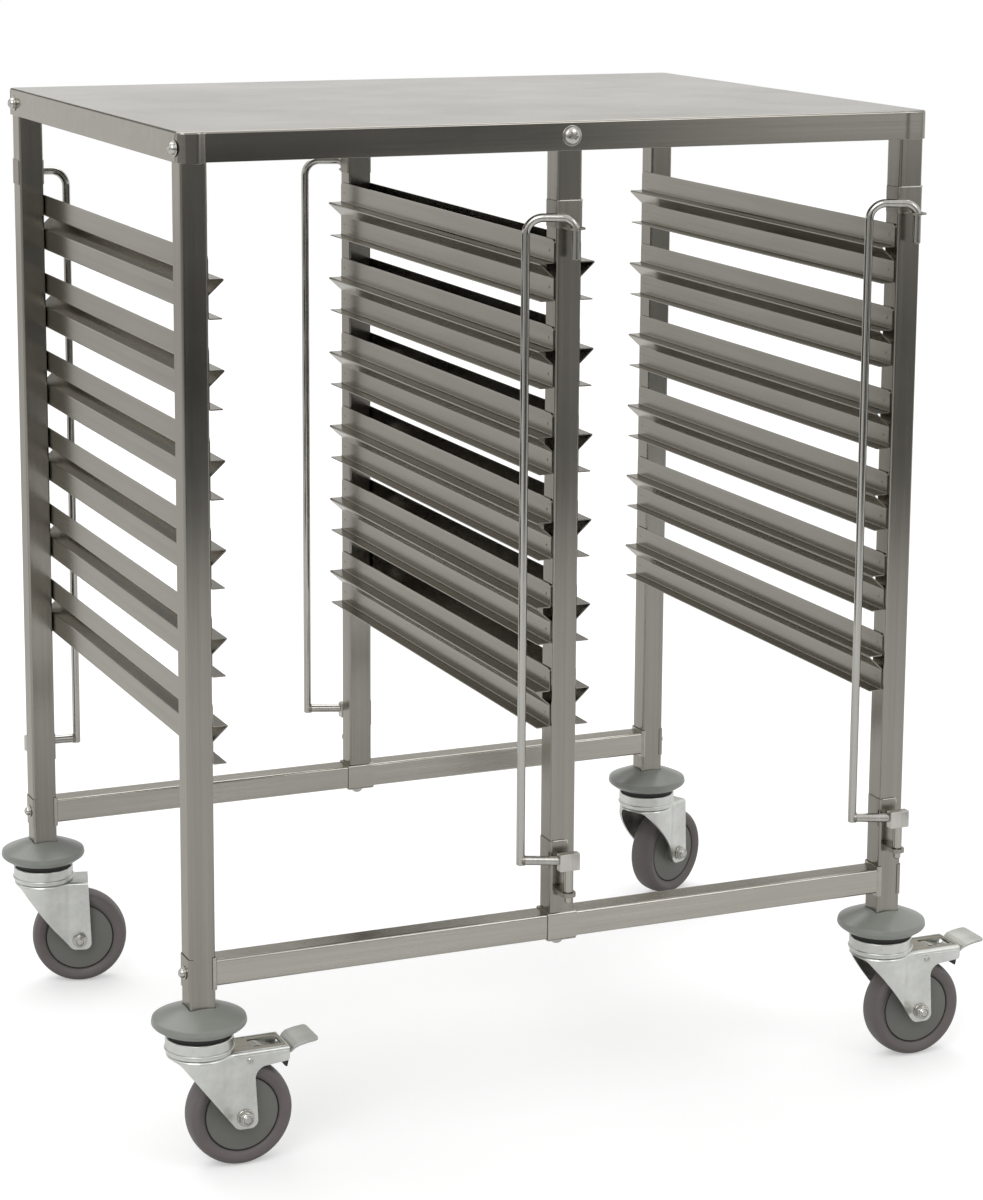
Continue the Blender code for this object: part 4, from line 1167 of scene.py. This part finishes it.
def front_flag(name, x0, x1, z0, z1, level):
    flag(name, [(x0, -5, z0), (x1, -5, z0), (x1, -5, z1), (x0, -5, z1)], level)


floor_flag("dark_floor_edge", -5, -0.8, -7, -2.8, 0.30)
floor_flag("dark_floor_left", -0.8, 1.5, -7, -2.8, 0.0)
floor_flag("dark_floor_mid", 1.5, 2.3, -7, -3.8, 0.58)
floor_flag("dark_floor_right", 2.3, 7, -7, -3.8, 0.12)
floor_flag("dark_floor_near", 1.5, 7, -3.8, -2.35, 0.08)
front_flag("front_wall_edge", -5, -0.8, 0, 1.5, 0.40)
front_flag("front_wall_left", -0.8, 1.65, 0, 0.3, 0.04)
front_flag("front_wall_left_top", -0.8, 1.1, 0.3, 1.5, 0.27)
front_flag("front_wall_left_dark", 1.1, 1.65, 0.3, 1.5, 0.18)
front_flag("front_wall_mid", 1.65, 2.7, 0, 0.2, 0.50)
front_flag("front_wall_mid_top", 1.65, 2.7, 0.2, 0.4, 0.22)
front_flag("front_wall_low", 2.7, 7, 0, 0.4, 0.22)
for number, level in enumerate((0.14, 0.13, 0.31, 0.64, 0.94, 1.0, 1.0, 1.0, 1.0)):
    start = 1.65 + 0.26 * number
    front_flag(f"front_wall_step_{number}", start, start + 0.26, 0.4, 1.5, level)
flag("left_wall", [(-5, -5, 0), (-5, 1, 0), (-5, 1, 1.5), (-5, -5, 1.5)], 0.42)
flag("back_wall", [(-7, 6, 2.0), (7, 6, 2.0), (7, 6, 3.0), (-7, 6, 3.0)], 0.25)
flag("back_wall_top", [(-7, 6, 3.0), (7, 6, 3.0), (7, 6, 5), (-7, 6, 5)], 0.42)


def studio_world():
    world = bpy.data.worlds.new("studio")
    bpy.context.scene.world = world
    world.use_nodes = True
    tree = world.node_tree
    tree.nodes.clear()
    output = tree.nodes.new("ShaderNodeOutputWorld")
    fill = tree.nodes.new("ShaderNodeBackground")
    fill.inputs["Color"].default_value = (1.0, 1.0, 1.0, 1.0)
    path = tree.nodes.new("ShaderNodeLightPath")
    total = None
    for ray, extra in (("Is Camera Ray", 0.25), ("Is Glossy Ray", 0.18), ("Is Transmission Ray", 0.18)):
        share = tree.nodes.new("ShaderNodeMath")
        share.operation = "MULTIPLY_ADD"
        share.inputs[1].default_value = extra
        share.inputs[2].default_value = 0.75
        tree.links.new(path.outputs[ray], share.inputs[0])
        if total:
            tree.links.new(total, share.inputs[2])
        total = share.outputs[0]
    tree.links.new(total, fill.inputs["Strength"])
    tree.links.new(fill.outputs[0], output.inputs["Surface"])


def softbox(name, place_of_lamp, target, size, power):
    lamp = bpy.data.lights.new(name, "AREA")
    lamp.shape = "RECTANGLE"
    lamp.size, lamp.size_y = size
    lamp.energy = power
    holder = bpy.data.objects.new(name, lamp)
    bpy.context.scene.collection.objects.link(holder)
    holder.location = place_of_lamp
    aim = Vector(target) - Vector(place_of_lamp)
    holder.rotation_euler = aim.to_track_quat("-Z", "Y").to_euler()


studio_world()
softbox("key_light", (-2.2, -2.4, 3.0), (0, 0, 0.5), (2.2, 2.2), 42)
softbox("top_light", (0.2, 1.3, 3.2), (0, 0, 0.5), (3.4, 3.4), 56)
softbox("front_light", (1.6, -2.9, 2.6), (0, 0, 0.5), (1.2, 1.2), 12)


def photo_camera():
    """The photograph's camera, fitted to the edges of the rack."""
    azimuth, pitch, roll = math.radians(23.346), math.radians(10.895), math.radians(0.366)
    ahead = Vector((math.sin(azimuth) * math.cos(pitch), math.cos(azimuth) * math.cos(pitch), -math.sin(pitch)))
    level = Vector((math.cos(azimuth), -math.sin(azimuth), 0))
    right = level * math.cos(roll) + level.cross(ahead) * math.sin(roll)
    matrix = Matrix((right, right.cross(ahead), -ahead)).transposed().to_4x4()
    matrix.translation = MIDDLE + Vector((-1.1998, -2.8785, 1.1896))
    camera = bpy.data.cameras.new("photo_camera")
    camera.sensor_fit = "VERTICAL"
    camera.sensor_height = 36.0
    camera.lens = 94.283
    camera.shift_x = 0.0017
    camera.shift_y = -0.1142
    holder = bpy.data.objects.new("photo_camera", camera)
    bpy.context.scene.collection.objects.link(holder)
    holder.matrix_world = matrix
    bpy.context.scene.camera = holder


photo_camera()
bpy.context.scene.view_settings.view_transform = "Standard"
